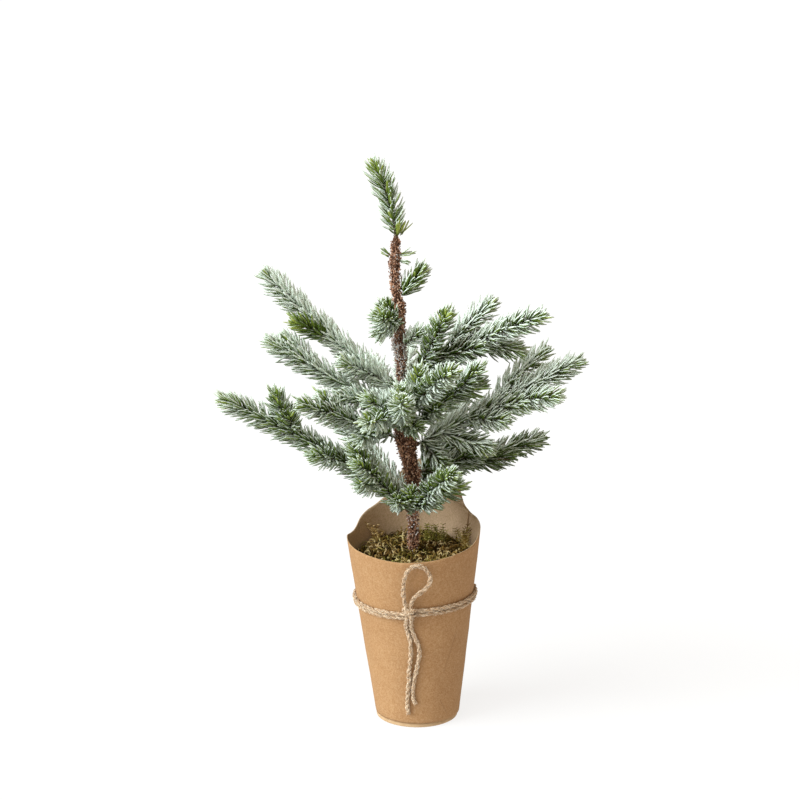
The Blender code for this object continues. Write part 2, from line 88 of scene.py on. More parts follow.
# Twine: the knot, and the routes of the bow's loop and the tails, as in the CAD
TWINE_DIAMETER = 0.0028
BAND_HEIGHT = 0.1006
BAND_TILT = 0.03
BAND_PITCH = 0.0031
BAND_OPENING = 0.0003
KNOT = Vector((-0.0066, -0.0526, 0.1036))
TAIL_OUTWARD = 0.0028
BOW_LOOP = [
    (-0.0022, 0.0000, 0.0056), (-0.0035, -0.0002, 0.0110), (-0.0042, -0.0006, 0.0180),
    (-0.0038, -0.0010, 0.0255), (-0.0022, -0.0016, 0.0318), (0.0006, -0.0020, 0.0363),
    (0.0042, -0.0023, 0.0387), (0.0082, -0.0023, 0.0391), (0.0121, -0.0021, 0.0371),
    (0.0150, -0.0018, 0.0337), (0.0165, -0.0014, 0.0293), (0.0160, -0.0010, 0.0247),
    (0.0136, -0.0006, 0.0207), (0.0100, -0.0002, 0.0174), (0.0060, 0.0000, 0.0144),
    (0.0028, 0.0000, 0.0104), (0.0014, 0.0000, 0.0056),
]
TAIL_LEFT_START = (-0.0018, -0.0004, -0.0056)
TAIL_LEFT = [  # sideways place and height on the paper
    (-0.0086, 0.0900), (-0.0068, 0.0830), (-0.0050, 0.0740), (-0.0052, 0.0611), (-0.0064, 0.0500),
    (-0.0062, 0.0430), (-0.0073, 0.0320), (-0.0075, 0.0230), (-0.0067, 0.0130),
]
TAIL_RIGHT_START = (0.0018, -0.0004, -0.0056)
TAIL_RIGHT = [
    (-0.0046, 0.0890), (-0.0020, 0.0815), (0.0009, 0.0740), (0.0018, 0.0673), (0.0008, 0.0600),
    (-0.0008, 0.0510), (-0.0022, 0.0435), (-0.0032, 0.0355), (-0.0030, 0.0275), (-0.0014, 0.0225),
]

# Moss that climbs the wall: turn in degrees, share of the way to the wall, length and greenness
MOSS_TUFTS = [
    (134, 0.90, 0.019, 0.0), (131, 0.87, 0.010, 0.0), (140, 0.84, 0.008, 0.1),
    (30, 0.93, 0.017, 0.6), (24, 0.96, 0.014, 0.6), (58, 0.60, 0.016, 1.0), (66, 0.56, 0.015, 1.0),
    (48, 0.70, 0.014, 1.0), (52, 0.64, 0.010, 0.9), (84, 0.75, 0.009, 0.5), (100, 0.9, 0.009, 0.2),
    (12, 0.88, 0.012, 0.3),
]

# Needles: how many on a metre of twig, the bare length at a twig's root, and how far from its tip they end
NEEDLES_PER_METRE = 3000
BARE_ROOT = 0.0050
LEADER_ROOT = 0.0030
SIDE_ROOT = 0.0004
TIP_LENGTH = 0.0055
TIP_NEEDLES = 11
GOLDEN_TURN = 2.39996
NEEDLE_LENGTH = 0.0098, 0.0130
NEEDLE_WIDTH = 0.00165, 0.00225
NEEDLE_LEAN = 54, 72  # degrees from the twig
GRAINS_A_NEEDLE = 4

# The bark goes on past the CAD's sleeve by this much, up to the root of the tree's tip
BARK_COLLAR = 0.0030

# How much frost each sprig carries, about 0 to 1, and how yellow its green is. A sprig without a row of its
# own follows its branch.
FROST = {
    "low_left": (0.63, 0.05), "low_left_a": (0.67, 0.05), "low_front_left": (0.62, 0.10),
    "low_front_right": (0.46, 0.06), "low_back_right": (0.53, 0.0), "low_back_left": (0.59, 0.0),
    "mid_right": (0.78, 0.0), "mid_right_b": (0.53, 0.10), "mid_back_right": (0.18, -0.14),
    "mid_front_left": (0.69, -0.05), "mid_left": (0.93, 0.0), "front": (0.62, 0.12),
    "front_left": (0.66, 0.08), "front_right": (0.68, 0.08), "right_front": (0.66, -0.04),
    "mid_back": (0.75, 0.0), "high_left": (1.20, 0.0), "high_left_a": (0.02, 0.12),
    "high_right": (0.34, -0.08), "high_right_a": (0.79, 0.0), "high_right_b": (0.69, 0.0),
    "high_right_c": (0.63, 0.12), "high_back": (0.79, 0.0), "leader": (0.65, 0.15),
    "upper_right": (0.30, 0.05), "upper_front": (0.62, 0.05), "frosted_front": (1.03, 0.0),
}

# Sprigs that only show: name, the CAD sprig that each grows from, share of the way along it, turn and rise in
# degrees, length, frost and yellowness
EXTRA_SPRIGS = [
    ("mid_left_top", "mid_left", 0.62, 182, 48, 0.036, 1.01, 0.0),
    ("right_front_low", "right_front", 0.50, 350, 22, 0.030, 0.28, -0.12),
    ("low_front_mid", "low_front_left", 0.50, 232, 34, 0.034, 0.63, 0.1),
    ("mid_back_right_low", "mid_back_right", 0.36, 10, 4, 0.040, 0.08, -0.20),
    ("mid_right_root", "mid_right", 0.30, 325, 8, 0.040, 0.66, 0.0),
    ("high_left_top", "high_left", 0.44, 170, 56, 0.020, 1.03, 0.0),
    ("low_left_top", "low_left", 0.62, 258, 58, 0.027, 0.67, 0.05),
    ("low_left_root", "low_left", 0.14, 238, 14, 0.036, 0.53, 0.0),
    ("low_front_root", "low_front_left", 0.10, 258, 24, 0.024, 0.50, 0.0),
    ("low_right_root", "low_front_right", 0.10, 310, 22, 0.026, 0.44, 0.0),
    ("low_front_cover", "low_front_left", 0.06, 286, 40, 0.025, 0.46, 0.0),
    ("low_right_cover", "low_front_right", 0.05, 248, 48, 0.025, 0.44, 0.05),
    ("low_right_mid", "low_front_right", 0.36, 336, 22, 0.032, 0.44, 0.05),
    ("front_top", "front", 0.22, 262, 62, 0.036, 0.78, 0.1),
    ("front_left_fill", "front_left", 0.15, 222, 34, 0.036, 0.78, 0.0),
    ("front_right_fill", "front_right", 0.15, 284, 64, 0.036, 0.74, 0.1),
    ("front_low", "front", 0.12, 292, 4, 0.030, 0.12, -0.1),
    ("mid_left_root", "mid_left", 0.16, 222, 14, 0.038, 1.00, 0.0),
    ("high_left_root", "high_left", 0.13, 214, 26, 0.038, 1.10, 0.0),
    ("mid_front_left_root", "mid_front_left", 0.20, 244, -2, 0.032, 0.63, 0.0),
    ("right_front_root", "right_front", 0.16, 300, 30, 0.026, 0.62, -0.05),
    ("mid_right_low", "mid_right", 0.14, 342, -12, 0.044, 0.52, -0.05),
    ("mid_right_front", "mid_right", 0.40, 334, 14, 0.040, 0.66, 0.0),
    ("mid_back_right_root", "mid_back_right", 0.18, 350, 24, 0.040, 0.30, -0.15),
    ("low_left_mid", "low_left", 0.36, 226, 20, 0.036, 0.59, 0.05),
    ("mid_front_left_mid", "mid_front_left", 0.50, 190, 44, 0.032, 0.73, 0.0),
    ("high_right_mid", "high_right", 0.34, 335, 20, 0.042, 0.44, -0.10),
    ("mid_right_gap", "mid_right", 0.03, 322, -34, 0.032, 0.16, -0.12),
    ("low_back_right_root", "low_back_right", 0.20, 300, 34, 0.030, 0.16, -0.12),
    ("low_back_right_mid", "low_back_right", 0.46, 350, 16, 0.036, 0.18, -0.12),
    ("upper_front_up", "upper_front", 0.15, 232, 54, 0.023, 0.49, 0.0),
    ("upper_front_low", "upper_front", 0.10, 226, -16, 0.022, 0.63, 0.0),
    ("upper_front_side", "upper_front", 0.10, 200, 24, 0.020, 0.53, 0.0),
]

# Single tufts of needles on the trunk: height, turn, rise, length, frost and yellowness
TUFT_NEEDLES = 7
TRUNK_TUFTS = [
    (0.3735, 186, 30, 0.0075, 0.1, 0.2), (0.3745, 350, 12, 0.0115, 0.3, 0.2),
    (0.3700, 340, -6, 0.0090, 0.2, 0.1), (0.3470, 352, 60, 0.0120, 0.6, 0.0),
    (0.2740, 300, 30, 0.0180, 0.7, 0.0), (0.2720, 240, 24, 0.0160, 0.7, 0.0),
    (0.1700, 262, 10, 0.0130, 0.4, 0.4), (0.3905, 285, 62, 0.0130, 0.1, 0.5),
    (0.3900, 20, 60, 0.0120, 0.1, 0.5),
]


# ---- camera, light and floor


def direction(turn, rise=0.0):
    """The way that points at a turn from +X and a rise, in degrees."""
    turn, rise = math.radians(turn), math.radians(rise)
    return np.array((math.cos(turn) * math.cos(rise), math.sin(turn) * math.cos(rise), math.sin(rise)))


def make_camera():
    """A long lens that looks a little down on the tree."""
    camera = bpy.data.objects.new("camera", bpy.data.cameras.new("camera"))
    bpy.context.collection.objects.link(camera)
    camera.data.lens = 108.3
    camera.data.sensor_width = 36
    camera.location = (0, -1.8, 0.75)
    camera.rotation_euler = (math.radians(90 - 15.24), 0, math.radians(0.435))
    bpy.context.scene.camera = camera


def make_sun(name, turn, rise, strength, angle, colour):
    """A soft distant light that comes from a turn and rise in degrees."""
    light = bpy.data.lights.new(name, "SUN")
    light.energy = strength
    light.angle = math.radians(angle)
    light.color = colour
    lamp = bpy.data.objects.new(name, light)
    bpy.context.collection.objects.link(lamp)
    lamp.rotation_euler = Vector(direction(turn, rise)).to_track_quat("Z", "Y").to_euler()


def make_world():
    """Dim warm light from all round, and a plain pale backdrop above the floor's edge."""
    world = bpy.data.worlds.new("studio")
    world.use_nodes = True
    nodes = world.node_tree.nodes
    warm, pale = nodes["Background"], nodes.new("ShaderNodeBackground")
    warm.inputs["Color"].default_value = (1.0, 0.82, 0.62, 1)
    warm.inputs["Strength"].default_value = 0.42
    pale.inputs["Color"].default_value = (0.93, 0.93, 0.92, 1)
    seen, mix = nodes.new("ShaderNodeLightPath"), nodes.new("ShaderNodeMixShader")
    for k, output in enumerate((seen.outputs["Is Camera Ray"], warm.outputs[0], pale.outputs[0])):
        world.node_tree.links.new(output, mix.inputs[k])
    world.node_tree.links.new(mix.outputs[0], nodes["World Output"].inputs["Surface"])
    bpy.context.scene.world = world


def make_lights():
    make_world()
    make_sun("key_left", 204, 31, 3.2, 44, (0.86, 0.95, 1.0))
    make_sun("fill_front", 224, 46, 1.6, 60, (0.90, 0.96, 1.0))
    bpy.context.scene.view_settings.view_transform = "Standard"


def make_floor():
    """A wide pale floor that glows a little, as a lit studio floor does."""
    bpy.ops.mesh.primitive_circle_add(vertices=96, radius=14, fill_type="NGON")
    floor = bpy.context.object
    floor.name = "floor"
    paint = paint_plain("studio_floor", (3.0, 3), (0.19, 0.19, 0.19), (0.21, 0.21, 0.21), roughness=0.9)
    paint.put(paint.shader, {"Emission Color": (1, 1, 1), "Emission Strength": 0.81})
    floor.data.materials.append(bpy.data.materials["studio_floor"])


# ---- materials

DULL = 0.12  # specular level of every surface, which is dusty and matt


class Paint:
    """A material. Each method that adds a node gives back the node's output."""

    def __init__(self, name, roughness, metallic=0.0, sheen=0.0):
        material = bpy.data.materials.new(name)
        material.use_nodes = True
        self.tree = material.node_tree
        self.shader = self.tree.nodes["Principled BSDF"]
        self.put(self.shader, {"Roughness": roughness, "Specular IOR Level": DULL})
        self.put(self.shader, {"Metallic": metallic, "Sheen Weight": sheen})

    def put(self, node, values):
        """Gives a node's inputs their values: numbers, colours of three numbers, or other nodes' outputs."""
        for key, value in values.items():
            socket = node.inputs[key]
            if isinstance(value, bpy.types.NodeSocket):
                self.tree.links.new(value, socket)
            else:
                socket.default_value = (*value, 1) if socket.type == "RGBA" else value
        return node

    def add(self, kind, values):
        return self.put(self.tree.nodes.new("ShaderNode" + kind), values)

    def colour(self, value):
        self.put(self.shader, {"Base Color": value})

    def bump(self, height, distance, strength):
        bump = self.add("Bump", {"Height": height, "Distance": distance, "Strength": strength})
        self.put(self.shader, {"Normal": bump.outputs["Normal"]})

    def place(self, stretch=(1, 1, 1)):
        """The piece's own coordinates, stretched."""
        place = self.add("TexCoord", {}).outputs["Object"]
        return self.add("Mapping", {"Vector": place, "Scale": stretch}).outputs["Vector"]

    def noise(self, scale, detail=4, roughness=0.55, stretch=(1, 1, 1)):
        values = {"Scale": scale, "Detail": detail, "Roughness": roughness, "Vector": self.place(stretch)}
        return self.add("TexNoise", values).outputs["Fac"]

    def ramp(self, factor, stops):
        ramp = self.add("ValToRGB", {"Fac": factor})
        elements = ramp.color_ramp.elements
        for element, (at, _) in zip(elements, (stops[0], stops[-1])):
            element.position = at
        for at, _ in stops[1:-1]:
            elements.new(at)
        for element, (_, colour) in zip(elements, stops):
            element.color = (*colour, 1)
        return ramp.outputs["Color"]

    def mottle(self, noise, dark, light):
        return self.ramp(noise, [(0.3, dark), (0.7, light)])

    def math(self, operation, first, second):
        node = self.add("Math", {0: first, 1: second})
        node.operation = operation
        return node.outputs[0]

    def sum(self, *values):
        return reduce(lambda total, value: self.math("ADD", total, value), values)

    def map(self, value, low, high, to_low=0.0, to_high=1.0):
        values = {"Value": value, "From Min": low, "From Max": high, "To Min": to_low, "To Max": to_high}
        return self.add("MapRange", values).outputs["Result"]

    def mix(self, factor, first, second):
        """Mixes two colours."""
        node = self.tree.nodes.new("ShaderNodeMix")
        node.data_type = "RGBA"
        colours = [k for k, socket in enumerate(node.inputs) if socket.type == "RGBA"]
        self.put(node, {0: factor, colours[0]: first, colours[1]: second})
        return next(socket for socket in node.outputs if socket.type == "RGBA")

    def upness(self):
        """How far a surface faces up, from -1 to 1, in the piece's own coordinates."""
        return self.add("SeparateXYZ", {0: self.add("TexCoord", {}).outputs["Normal"]}).outputs["Z"]

    def look(self):
        """The three values that the mesh code stores at each point."""
        attribute = self.add("Attribute", {})
        attribute.attribute_name = "look"
        return self.add("SeparateColor", {0: attribute.outputs["Color"]}).outputs[:]


def paint_plain(name, grain, dark, light, bump=None, **finish):
    """A mottled material. grain is its noise's scale, detail, roughness and stretch."""
    paint = Paint(name, **finish)
    noise = paint.noise(*grain)
    paint.colour(paint.mottle(noise, dark, light))
    if bump:
        paint.bump(noise, *bump)
    return paint


def paint_needles():
    """Green moulded needles with white frost on their upper sides, and painted shade towards their roots.
    look is tone, place along and frost.
    """
    paint = Paint("frosted_needles", roughness=0.62)
    tone, along, frost = paint.look()
    green = paint.ramp(tone, [
        (0.0, (0.050, 0.034, 0.008)), (0.12, (0.024, 0.040, 0.005)), (0.45, (0.068, 0.114, 0.014)),
        (0.8, (0.170, 0.245, 0.036)), (1.0, (0.340, 0.410, 0.070)),
    ])
    # Painted shade: each needle darkens towards its root, deep inside the sprig.
    green_with_root_shade = paint.mix(paint.map(along, 0.0, 0.42, 0.85, 0.0), green, (0.018, 0.027, 0.004))
    grain = paint.noise(1500, 3, 0.7)
    patch = paint.noise(260, 2)
    # The along term is painted shade too: it takes white frost away near the roots.
    level = paint.sum(
        paint.map(paint.upness(), -0.45, 0.35, -0.80, 0.26), frost, paint.map(patch, 0.3, 0.7, -0.14, 0.14),
        paint.map(along, 0.0, 0.40, -0.30, 0.0), paint.map(grain, 0.25, 0.75, -0.22, 0.22),
    )
    white = paint.map(level, 0.20, 0.48)
    rime = paint.mix(patch, (0.66, 0.78, 0.64), (0.94, 0.98, 0.93))
    paint.colour(paint.mix(paint.math("MULTIPLY", white, 0.93), green_with_root_shade, rime))
    paint.put(paint.shader, {"Roughness": paint.map(white, 0, 1, 0.5, 0.95)})
    paint.bump(level, 0.0002, 0.6)


def paint_frost():
    paint_plain("frost_grains", (700,), (0.62, 0.68, 0.64), (0.86, 0.88, 0.87), roughness=0.95)


def paint_bark():
    """Crumbly red-brown bark with dark gaps of painted shade between its chips, pale edges and frost. look is
    height, chip tone and frost.
    """
    paint = Paint("crumbly_bark", roughness=0.9)
    height, tone, frost = paint.look()
    brown = paint.ramp(tone, [
        (0.0, (0.085, 0.026, 0.010)), (0.5, (0.215, 0.084, 0.040)), (0.85, (0.56, 0.29, 0.170)),
        (1.0, (0.82, 0.57, 0.41)),
    ])
    grain = paint.noise(900, 5, 0.65)
    chip = paint.mix(paint.map(grain, 0.35, 0.70, 0.0, 0.5), brown, (0.58, 0.37, 0.26))
    # Painted shade: the low places between chips are darkened almost to black.
    deep = paint.mix(paint.map(height, 0.10, 0.42, 0.96, 0.0), chip, (0.016, 0.006, 0.003))
    patch = paint.map(paint.noise(420, 4, 0.7), 0.3, 0.7, -0.5, 0.5)
    cover = paint.sum(frost, patch, paint.map(height, 0.2, 0.8, -0.25, 0.15))
    paint.colour(paint.mix(paint.map(cover, 0.42, 0.70, 0.0, 0.85), deep, (0.66, 0.67, 0.66)))
    paint.bump(grain, 0.0004, 0.7)


def paint_stem():
    """Rough brown tape round the branch wire, with specks of frost."""
    paint = Paint("wound_tape", roughness=0.85)
    grain = paint.noise(1200)
    brown = paint.mottle(grain, (0.055, 0.032, 0.018), (0.170, 0.105, 0.062))
    speck = paint.map(paint.noise(900, 2, 0.7), 0.56, 0.66, 0.0, 0.7)
    paint.colour(paint.mix(speck, brown, (0.55, 0.58, 0.55)))
    paint.bump(grain, 0.0003, 0.8)


def paint_paper():
    """Kraft paper: grain, short fibres, faint mottling, dark flecks and painted shade along the creases. look
    is height, crease and inside.
    """
    paint = Paint("kraft_sheet", roughness=0.86)
    _, crease, inside = paint.look()
    grain = paint.noise(820, 3, 0.7)
    fibre = paint.noise(330, 5, 0.75, stretch=(1, 1, 0.8))
    fleck = paint.noise(1000, 3, 0.8, stretch=(1, 1, 0.8))
    outer = paint.mottle(paint.noise(55, 5, 0.6), (0.372, 0.203, 0.090), (0.414, 0.232, 0.105))
    for source, low, high, most, colour in (
        (grain, 0.48, 0.66, 0.34, (0.58, 0.38, 0.215)), (grain, 0.50, 0.32, 0.34, (0.24, 0.115, 0.042)),
        (fibre, 0.50, 0.70, 0.30, (0.56, 0.38, 0.21)), (fleck, 0.62, 0.74, 0.40, (0.22, 0.110, 0.045)),
        # Painted shade: the outer skin darkens along the creases.
        (crease, 0.0, 1.0, 0.55, (0.18, 0.09, 0.04)),
    ):
        outer = paint.mix(paint.map(source, low, high, 0.0, most), outer, colour)
    inner = paint.mix(paint.map(grain, 0.3, 0.7), (0.46, 0.31, 0.18), (0.68, 0.49, 0.32))
    near = paint.mix(paint.map(inside, 0.0, 0.4), outer, (0.62, 0.44, 0.26))
    paint.colour(paint.mix(paint.map(inside, 0.6, 1.0), near, inner))
    paint.bump(paint.sum(fibre, grain), 0.00016, 0.6)


def paint_card():
    """The card disc: pale cut edge in fine layers."""
    paint = Paint("layered_card", roughness=0.88)
    layers = paint.add("TexWave", {"Scale": 420, "Distortion": 1.5, "Vector": paint.place()})
    layers.bands_direction = "Z"
    patch = paint.noise(160)
    card = paint.mottle(patch, (0.50, 0.33, 0.18), (0.62, 0.44, 0.26))
    paint.colour(paint.mix(paint.map(layers.outputs["Fac"], 0, 1, 0.0, 0.25), card, (0.30, 0.18, 0.09)))
    paint.bump(patch, 0.0002, 0.6)


def paint_jute():
    """Jute: pale and brown fibres along each strand, and painted shade on the points that lie deep between
    the strands. look is fibre, strand tone and depth.
    """
    paint = Paint("jute_fibre", roughness=0.88, sheen=0.15)
    fibre, tone, depth = paint.look()
    streak = paint.noise(1300, 4, 0.7)
    fibres, streaks = paint.math("MULTIPLY", fibre, 0.5), paint.math("MULTIPLY", streak, 0.6)
    shade = paint.sum(fibres, streaks, paint.map(tone, 0, 1, -0.15, 0.15))
    stops = [(0.20, (0.280, 0.145, 0.066)), (0.48, (0.570, 0.375, 0.215)), (0.80, (0.940, 0.790, 0.590))]
    # Painted shade: points close to the twine's middle, between its strands, are darkened.
    paint.colour(paint.mix(paint.map(depth, 0, 1, 0.66, 0.0), paint.ramp(shade, stops), (0.17, 0.085, 0.04)))
    paint.bump(streak, 0.0002, 0.6)


def paint_moss():
    """Dried moss: strands from straw and olive to dark brown, darkened towards their roots as painted shade
    deep in the moss. look is tone, place along and greenness.
    """
    paint = Paint("dried_moss", roughness=0.85)
    tone, along, green = paint.look()
    brown = paint.ramp(tone, [
        (0.0, (0.030, 0.012, 0.001)), (0.35, (0.160, 0.080, 0.012)), (0.7, (0.520, 0.320, 0.090)),
        (1.0, (0.96, 0.74, 0.40)),
    ])
    olive = paint.ramp(
        tone, [(0.0, (0.018, 0.020, 0.002)), (0.5, (0.170, 0.150, 0.012)), (1.0, (0.60, 0.54, 0.16))]
    )
    mixed = paint.mix(green, brown, olive)
    mixed = paint.mix(paint.map(paint.noise(1400, 3), 0.4, 0.8, 0.0, 0.4), mixed, (0.06, 0.035, 0.012))
    # Painted shade: each strand darkens towards its root, deep in the moss.
    paint.colour(paint.mix(paint.map(along, 0, 1, 0.65, 0.0), mixed, (0.03, 0.018, 0.006)))


def paint_hidden():
    """The pieces inside the pot: plastic cup, cement, coir bed and steel wire."""
    cup, cement = (240, 3), (600, 5, 0.7)
    coir, wire = (500, 5, 0.8, (1, 0.2, 1)), (900, 3, 0.55, (1, 1, 0.05))
    paint_plain("black_cup", cup, (0.018, 0.018, 0.018), (0.035, 0.034, 0.033), (0.0001, 0.4), roughness=0.5)
    paint_plain("grey_cement", cement, (0.26, 0.25, 0.24), (0.52, 0.51, 0.49), (0.0005, 0.8), roughness=0.95)
    paint_plain("coir_mat", coir, (0.04, 0.022, 0.010), (0.19, 0.115, 0.055), (0.0008, 0.9), roughness=0.95)
    paint_plain("drawn_wire", wire, (0.30, 0.30, 0.31), (0.45, 0.45, 0.46), roughness=0.38, metallic=1.0)


# ---- mesh helpers


NO_QUADS = np.zeros((0, 4), int)

# A direction that no thin strand runs along, from which its sides are worked out
ACROSS_HAIRS = np.array((0.31, -0.55, 0.77))


def make_piece(name, points, quads, tris, look, material, slot, body=ROOT_BODY, replaces=(), smooth=True):
    """A mesh that rides on a body. look holds three values for each point, for its material."""
    quads, tris = np.asarray(quads, np.int32).reshape(-1, 4), np.asarray(tris, np.int32).reshape(-1, 3)
    mesh = bpy.data.meshes.new(name)
    mesh.vertices.add(len(points))
    mesh.vertices.foreach_set("co", np.asarray(points, np.float32).ravel())
    mesh.loops.add(quads.size + tris.size)
    mesh.loops.foreach_set("vertex_index", np.concatenate([quads.ravel(), tris.ravel()]))
    starts = np.concatenate([np.arange(len(quads)) * 4, quads.size + np.arange(len(tris)) * 3])
    mesh.polygons.add(len(starts))
    mesh.polygons.foreach_set("loop_start", starts.astype(np.int32))
    mesh.polygons.foreach_set("use_smooth", np.full(len(starts), smooth))
    mesh.update(calc_edges=True)
    if look is not None:
        values = np.ones((len(points), 4), np.float32)
        values[:, :3] = look
        mesh.color_attributes.new("look", "FLOAT_COLOR", "POINT").data.foreach_set("color", values.ravel())
    mesh.materials.append(bpy.data.materials[material])
    piece = bpy.data.objects.new(name, mesh)
    bpy.context.collection.objects.link(piece)
    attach(piece, body)
    if replaces:
        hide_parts(*replaces)
    return piece


class Bundle:
    """Gathers many small shapes into one mesh."""

    def __init__(self):
        self.points, self.quads, self.tris, self.look, self.count = [], [], [], [], 0

    def add(self, points, quads, tris, look):
        self.points.append(points)
        self.quads.append(np.asarray(quads, np.int64).reshape(-1, 4) + self.count)
        self.tris.append(np.asarray(tris, np.int64).reshape(-1, 3) + self.count)
        self.look.append(np.broadcast_to(look, (len(points), 3)))
        self.count += len(points)

    def add_many(self, points, quads, tris, look):
        """Copies of one shape: points and look have a row for each copy."""
        copies, size = points.shape[:2]
        shift = (np.arange(copies) * size)[:, None, None]
        self.add(points.reshape(-1, 3), quads + shift, tris + shift, look.reshape(-1, 3))

    def add_strands(self, lines, radii, sides, *values):
        """Thin tubes. The values, for a strand or for each of its points, make its look."""
        points, quads, tris = thin_strands(lines, radii, sides)
        look = [np.broadcast_to(value, points.shape[:2]) for value in values]
        self.add_many(points, quads, tris, np.stack(look, axis=-1))

    def make(self, name, material, slot, **rest):
        parts = [np.vstack(part) for part in (self.points, self.quads, self.tris, self.look)]
        return make_piece(name, *parts, material, slot, **rest)


def unit(vectors):
    vectors = np.asarray(vectors, float)
    return vectors / np.maximum(np.linalg.norm(vectors, axis=-1, keepdims=True), 1e-12)


def respace(line, step):
    """The same line as points about a step apart."""
    along = np.concatenate([[0], np.cumsum(np.linalg.norm(np.diff(line, axis=0), axis=1))])
    at = np.linspace(0, along[-1], max(3, round(along[-1] / step) + 1))
    return np.stack([np.interp(at, along, line[:, k]) for k in range(3)], axis=1)


def smooth_line(points, step):
    """A smooth curve through the points, as points about a step apart."""
    points = np.array([tuple(p) for p in points], float)
    ends = np.vstack([2 * points[0] - points[1], points, 2 * points[-1] - points[-2]])
    t = np.linspace(0, 1, 12, endpoint=False)[:, None]
    curve = [
        0.5 * (2 * b + (c - a) * t + (2 * a - 5 * b + 4 * c - d) * t**2 + (3 * b - a - 3 * c + d) * t**3)
        for a, b, c, d in zip(ends, ends[1:], ends[2:], ends[3:])
    ]
    return respace(np.vstack([*curve, points[-1:]]), step)


def line_length(line):
    return float(np.linalg.norm(np.diff(line, axis=0), axis=1).sum())


def frames_on(line):
    """Headings along a line, and two directions across it that don't spin."""
    heading = unit(np.gradient(line, axis=0))
    start = np.array((0, 0, 1.0)) if abs(heading[0][2]) < 0.9 else np.array((1.0, 0, 0))
    across = [unit(np.cross(heading[0], start))]
    for h in heading[1:]:
        across.append(unit(across[-1] - h * (across[-1] @ h)))
    across = np.array(across)
    return heading, across, np.cross(heading, across)


def around(angles, u, v):
    """Directions at angles round a line, whose two directions across it are u and v."""
    return np.cos(angles)[..., None] * u + np.sin(angles)[..., None] * v


def circle(sides):
    """The angles of points all round a circle."""
    return np.linspace(0, math.tau, sides, endpoint=False)


def level_points(radius, turns, x, z):
    """Points of level circles whose middles are at x, at heights z."""
    return np.stack(np.broadcast_arrays(x + radius * np.cos(turns), radius * np.sin(turns), z), axis=-1)


def grid_faces(columns, rows, closed):
    """Quads of a grid of points that runs row by row. A closed grid joins its last column to its first."""
    i, j = np.meshgrid(np.arange(rows - 1), np.arange(columns if closed else columns - 1), indexing="ij")
    k = (j + 1) % columns
    near, far = i * columns, (i + 1) * columns
    return np.stack([near + j, near + k, far + k, far + j], axis=-1).reshape(-1, 4)


def tube_faces(rings, sides):
    """Faces of a closed tube whose points run ring by ring, with flat ends."""
    fan = np.arange(1, sides - 1)
    last = (rings - 1) * sides
    near = np.stack([np.zeros_like(fan), fan + 1, fan], axis=1)
    far = np.stack([np.full_like(fan, last), last + fan, last + fan + 1], axis=1)
    return grid_faces(sides, rings, closed=True), np.vstack([near, far])


def tube(line, radii, sides, turn=0.0, lobes=0, depth=0.0):
    """Points and faces of a closed tube along a line. Lobes make its cross-section a bundle of fibres."""
    _, u, v = frames_on(line)
    twist = np.broadcast_to(turn, len(line))[:, None]
    radius = np.broadcast_to(radii, len(line))[:, None] * (1 + depth * np.cos(lobes * circle(sides)))
    points = line[:, None] + around(circle(sides) + twist, u[:, None], v[:, None]) * radius[..., None]
    return points.reshape(-1, 3), *tube_faces(len(line), sides)


def thin_strands(lines, radii, sides):
    """Many thin tubes at once. lines has a row of points for each strand, and radii their radii."""
    heading = unit(np.gradient(lines, axis=1))
    u = unit(np.cross(heading, ACROSS_HAIRS))
    v = np.cross(heading, u)
    points = lines[:, :, None] + around(circle(sides), u[:, :, None], v[:, :, None]) * radii[:, :, None, None]
    return points.reshape(len(lines), -1, 3), *tube_faces(lines.shape[1], sides)


# ---- pot


def pot_radius(height):
    """The cone's radius at a height."""
    return FOOT_RADIUS + FLARE * height


def pot_points(turns, heights, outward=0.0):
    """Points on the pot's cone, for arrays of turns in degrees and heights."""
    return level_points(pot_radius(heights) + outward, np.radians(turns), LEAN * heights, heights)


def front_point(x, height):
    """The middle of a tail of twine that lies on the front of the paper."""
    radius = pot_radius(height) + TAIL_OUTWARD
    return Vector((x, -math.sqrt(radius**2 - (x - LEAN * height) ** 2), height))


def layer_lift(turns):
    """How far out the sheet lies at a turn: it climbs on to itself on its way round."""
    share = np.clip((turns - 200) / 150, 0, 1)
    return PAPER_LIFT * share * share * (3 - 2 * share)


def rim_height(turns):
    """The rim's height, as a smooth curve through its points."""
    known = np.array([t for t, _ in RIM], float)
    heights = np.array([h for _, h in RIM], float)
    slopes = np.gradient(heights, known)
    k = np.clip(np.searchsorted(known, turns) - 1, 0, len(known) - 2)
    width = known[k + 1] - known[k]
    t = (turns - known[k]) / width
    a, b = 2 * t**3 - 3 * t**2 + 1, t**3 - 2 * t**2 + t
    c, d = -2 * t**3 + 3 * t**2, t**3 - t**2
    return a * heights[k] + b * width * slopes[k] + c * heights[k + 1] + d * width * slopes[k + 1]


def noise_at(points, scale, seed=0.0):
    """Smooth noise from -1 to 1 at each point."""
    shift = Vector((seed, seed * 0.7, seed * 1.3))
    return np.array([noise.noise(Vector(p) * scale + shift) for p in np.asarray(points).reshape(-1, 3)])


# Thin straight creases pressed in the sheet: turn and height of each end
CREASES = [((318, 0.079), (309, 0.058)), ((302, 0.022), (313, 0.010)), ((309, 0.058), (305, 0.048))]
CREASE_REACH = 0.0006
METRES_A_DEGREE = np.array((0.0008, 1))  # makes a turn and a height comparable on the sheet


